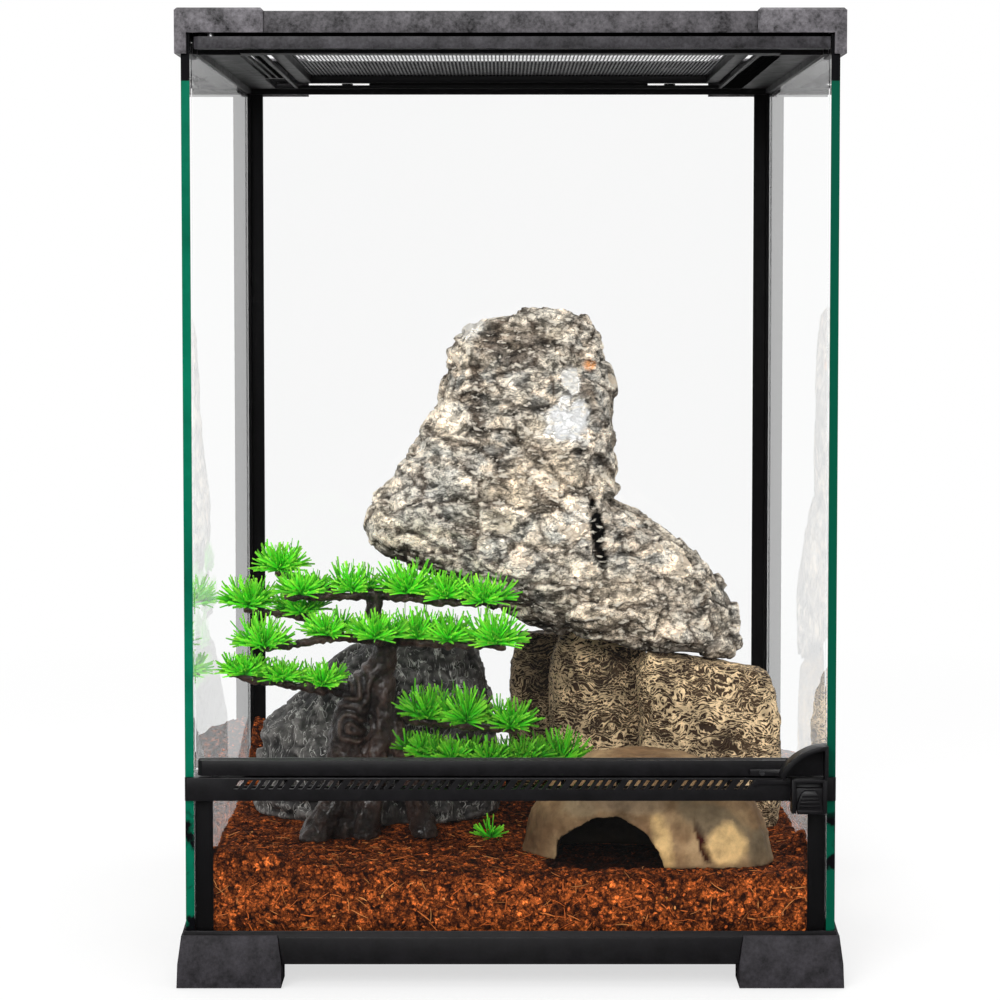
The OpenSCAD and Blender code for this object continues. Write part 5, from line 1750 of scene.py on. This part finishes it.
@dataclass
class Planting:
    """Stones, cave hide, tree and sprig."""

    def build(self) -> None:
        """Makes the interior's furnishings."""
        self.rock().build()
        for stone in self.ridge_stones():
            stone.build()
        self.hide().build()
        self.dark_stone().build()
        tree = Bonsai()
        tree.build()
        bits = Bits()
        for foot, reach, height in tuft_feet("plant_sprig"):
            tree.tuft(bits, foot, reach, height, 34)
        sprig = bits.piece("green_sprig")
        dress(sprig, NEEDLE, Body.CABINET, Slot.GREEN, ["plant_sprig"])

    def rock(self) -> Stone:
        """The upright grey rock."""
        white, pale, brown, crack = (0.86, 0.85, 0.83), (0.70, 0.68, 0.64), (0.060, 0.042, 0.030), (0.010, 0.008, 0.006)
        marks = (
            Mark(30, 256, 12.5, 12, 0.4, white, 1.6, -12, ragged=0.8),
            Mark(31, 276, 5, 9, 0.3, pale, 1.3, 12, ragged=0.7),
            Mark(-21, 303, 9, 9, 0.4, (0.74, 0.71, 0.65), 1.2),
            Mark(41, 283, 4, 4, 0.0, (0.48, 0.19, 0.05), 0.9),
            Mark(2, 294, 20, 13, -1.2, brown, 0.72, -8, ragged=0.6),
            Mark(-17, 268, 4.0, 26, -2.2, brown, 0.62, 4, ragged=0.6),
            # painted shade: the near-black tint stands for the shadow in this crack
            Mark(45, 196, 4.0, 21, -3.2, crack, 1.5, 8, ragged=0.7),
            Mark(-40, 178, 32, 8, -0.6, (0.045, 0.035, 0.03), 0.8, -28),
            Mark(55, 211, 14, 3.5, -1.2, brown, 0.6),
            Mark(-45, 215, 26, 20, 0.0, (0.24, 0.235, 0.22), 0.5),
            Mark(60, 160, 40, 22, 0.0, (0.46, 0.37, 0.27), 0.5),
            Mark(15, 225, 24, 22, 0.3, (0.51, 0.40, 0.28), 0.45),
            Mark(90, 175, 20, 8, 0.3, (0.47, 0.40, 0.30), 0.4, -25),
        )
        return CraggyStone("feature_rock", "upright_rock", GREY_ROCK, Slot.GREY_ROCK,
                           ((0.47, 0.405, 0.315), (0.35, 0.335, 0.30), (0.56, 0.455, 0.34)), voxel=1.35, small=0.45,
                           marks=marks, limit=1.9, seed=5.0)

    def ridge_stones(self) -> Iterable[Stone]:
        """The three ridged stones under the rock."""
        for k, (side, level) in enumerate((("left", 0.75), ("middle", 1.45), ("right", 1.6))):
            colours = tuple(tuple(c * level for c in tone)
                            for tone in ((0.024, 0.013, 0.007), (0.050, 0.029, 0.015), (0.42, 0.28, 0.15)))
            yield RidgedStone(f"ridge_stone_{side}", f"worm_stone_{side}", BROWN_STONE, Slot.BROWN_STONE, colours,
                              voxel=1.15, broad=1.0, middle=0.4, small=0.25, broad_size=24.0, crease_shade=1.3,
                              widen_left=(0.0, 2.5, 5.0)[k], widen_right=(6.0, 4.0, 0.0)[k], seed=4.0 + 6 * k)

    def hide(self) -> Stone:
        """The cave hide."""
        olive, crack, tan = (0.155, 0.118, 0.070), (0.09, 0.035, 0.014), (0.66, 0.44, 0.19)
        marks = (
            Mark(90.5, 62, 2.0, 15, -1.8, crack, 1.2, 18, ragged=1.0), Mark(99, 70, 9, 27, 0.5, olive, 0.8, 59),
            # painted highlight: the yellow-tan mark on the bulge and the tan mark on the pillar
            Mark(119, 56, 8, 13, 0.3, olive, 0.75), Mark(102, 61, 11, 11, 0.8, (0.72, 0.48, 0.21), 0.85),
            Mark(72, 60, 5.5, 17, 0.6, tan, 0.85, 12), Mark(55, 79, 22, 5, 0.3, (0.40, 0.30, 0.19), 0.5),
            Mark(12, 62, 10, 14, 0.3, (0.15, 0.085, 0.042), 0.8), Mark(33, 76, 9, 5, 0.3, (0.42, 0.33, 0.20), 0.5),
        )
        return ShelterStone("cave_hide", "cave_shelter", RESIN, Slot.TAN_RESIN,
                            ((0.20, 0.115, 0.055), (0.36, 0.235, 0.120), (0.52, 0.37, 0.20)), voxel=1.25, broad=1.2,
                            middle=0.7, small=0.3, broad_size=20.0, marks=marks, crease_shade=2.2, limit=1.7, seed=8.0)

    def dark_stone(self) -> Stone:
        """The dark stone behind the tree."""
        return FacetedStone("bonsai_stone", "veined_stone", VEINED, Slot.DARK_STONE,
                            ((0.030, 0.029, 0.029), (0.090, 0.085, 0.079), (0.28, 0.265, 0.25)), voxel=1.6,
                            small=0.4, facet_sizes=(20.0, 8.0), facet_tilts=(0.4, 0.45), crease_shade=1.5, limit=1.9,
                            seed=2.0)


# ---------------------------------------------------------------------------------------------
# Studio
# ---------------------------------------------------------------------------------------------


@dataclass(frozen=True)
class Lamp:
    """A soft lamp: its place, the point that it faces and its size in metres, and its power in watts."""

    name: str
    spot: tuple[float, float, float]
    aim: tuple[float, float, float]
    size: tuple[float, float]
    power: float

    def build(self) -> None:
        """Adds the lamp."""
        data = bpy.data.lights.new(self.name, "AREA")
        data.shape = "RECTANGLE"
        data.size, data.size_y = self.size
        data.energy = self.power
        made = bpy.data.objects.new(self.name, data)
        made.location = self.spot
        made.rotation_euler = (Vector(self.aim) - Vector(self.spot)).to_track_quat("-Z", "Y").to_euler()
        bpy.context.scene.collection.objects.link(made)


@dataclass
class Studio:
    """Camera, lamps, pale floor and white surroundings."""

    lamps: tuple[Lamp, ...] = (
        Lamp("key_lamp", (-0.75, -1.9, 1.35), (0.0, 0.0, 0.22), (0.9, 0.9), 24.0),
        Lamp("strip_lamp", (0.1, -2.25, 0.90), (0.0, 0.0, 0.35), (1.7, 0.45), 14.0),
        Lamp("top_lamp", (0.15, 0.1, 1.7), (0.0, 0.0, 0.2), (0.9, 0.9), 12.0),
    )
    lens: float = 99.769
    distance: float = 1267.51
    height: float = 327.66
    sideways: float = -4.763
    tilt: float = 3.15
    shift_y: float = -0.07
    surround: float = 0.55
    mirrored: float = 0.04
    glow: float = 0.66

    def build(self) -> None:
        """Makes the studio."""
        self.camera()
        self.world()
        for lamp in self.lamps:
            lamp.build()
        self.floor()

    def camera(self) -> None:
        """Adds the camera at the photograph's place."""
        data = bpy.data.cameras.new("main_camera")
        data.sensor_width = 36.0
        data.lens = self.lens
        data.shift_y = self.shift_y
        made = bpy.data.objects.new("main_camera", data)
        made.location = place(self.sideways, -self.distance, self.height)
        made.rotation_euler = (math.radians(90.0 - self.tilt), 0.0, 0.0)
        bpy.context.scene.collection.objects.link(made)
        bpy.context.scene.camera = made

    def world(self) -> None:
        """White surroundings, dimmer for the light that they throw and for what faces the camera reflects."""
        made = bpy.data.worlds.new("studio_surroundings")
        bpy.context.scene.world = made
        made.use_nodes = True
        made.node_tree.nodes.clear()
        graph = Graph(made.node_tree)
        seen, mirror = self.rays(graph)
        level = graph.scaled(seen, 1.0 - self.surround, self.surround)
        heading = graph.node("ShaderNodeTexCoord").outputs["Generated"]
        behind = graph.ramp(graph.node("ShaderNodeSeparateXYZ", Vector=heading).outputs["Y"], 0.0, 0.5)
        reflected = graph.scaled(behind, 1.0 - self.mirrored, self.mirrored)
        level = graph.scaled(mirror, graph.less(reflected, self.surround), level)
        shader = graph.node("ShaderNodeBackground", Color=(1.0, 1.0, 1.0), Strength=level)
        graph.node("ShaderNodeOutputWorld", Surface=shader.outputs[0])

    def rays(self, graph: Graph) -> tuple[bpy.types.NodeSocket, bpy.types.NodeSocket]:
        """Sockets that are 1 for rays seen directly or through glass, and 1 for mirrored rays.

        Args:
            graph: The graph to add them to.

        Returns:
            Both sockets.
        """
        path = graph.node("ShaderNodeLightPath")
        through = path.outputs["Is Transmission Ray"]
        seen = graph.highest(path.outputs["Is Camera Ray"], through)
        mirror = graph.times(path.outputs["Is Glossy Ray"], graph.less(1.0, seen))
        return seen, mirror

    def floor(self) -> None:
        """A pale floor that keeps the object's shadow."""
        deselect()
        bpy.ops.mesh.primitive_plane_add(size=8.0, location=(0, 0, -0.0004))
        made = bpy.context.object
        made.name = "studio_floor"
        bpy.ops.object.transform_apply(location=True, rotation=True, scale=True)
        finish = bpy.data.materials.new("pale_floor")
        finish.use_nodes = True
        finish.node_tree.nodes.clear()
        graph = Graph(finish.node_tree)
        spot = graph.spot()
        cloud = graph.cloud(spot, 3.0)
        tone = graph.mix(graph.ramp(cloud, 0.0, 1.0), (0.84, 0.84, 0.84), (0.88, 0.88, 0.88))
        seen, mirror = self.rays(graph)
        tone = graph.mix(mirror, tone, (0.08, 0.08, 0.08))
        tone = graph.mix(seen, tone, (0.34, 0.34, 0.34))
        plain = graph.node("ShaderNodeBsdfDiffuse", Color=tone)
        away = graph.node("ShaderNodeVectorMath", {"operation": "LENGTH"}, _0=spot).outputs["Value"]
        shine = graph.node("ShaderNodeEmission", Color=(1.0, 1.0, 1.0),
                           Strength=graph.times(seen, self.glow))
        both = graph.node("ShaderNodeAddShader", _0=plain.outputs[0], _1=shine.outputs[0])
        white = graph.node("ShaderNodeEmission", Color=(1.0, 1.0, 1.0), Strength=1.0)
        behind = graph.ramp(graph.node("ShaderNodeSeparateXYZ", Vector=spot).outputs["Y"], 0.15, 0.5)
        far = graph.highest(graph.times(seen, graph.ramp(away, 0.3, 1.1)), graph.times(mirror, behind))
        whole = graph.node("ShaderNodeMixShader", _0=far, _1=both.outputs[0], _2=white.outputs[0])
        graph.node("ShaderNodeOutputMaterial", Surface=whole.outputs[0])
        made.data.materials.append(finish)
        made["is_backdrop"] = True


def main() -> None:
    """Builds the studio and every sub-assembly in order."""
    logging.basicConfig(level=logging.INFO, format="%(name)s: %(message)s")
    noise.seed_set(NOISE_SEED)
    bpy.context.scene.view_settings.view_transform = "Standard"
    for part in (Studio(), Panes(), Mouldings(), Lid(), Door(), Lock(), SoilBed(), Planting()):
        log.info("building %s", type(part).__name__)
        part.build()
    sizes = [[list(corner) for corner in box] for box in (cad_box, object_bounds())]


if __name__ == "__main__":
    main()
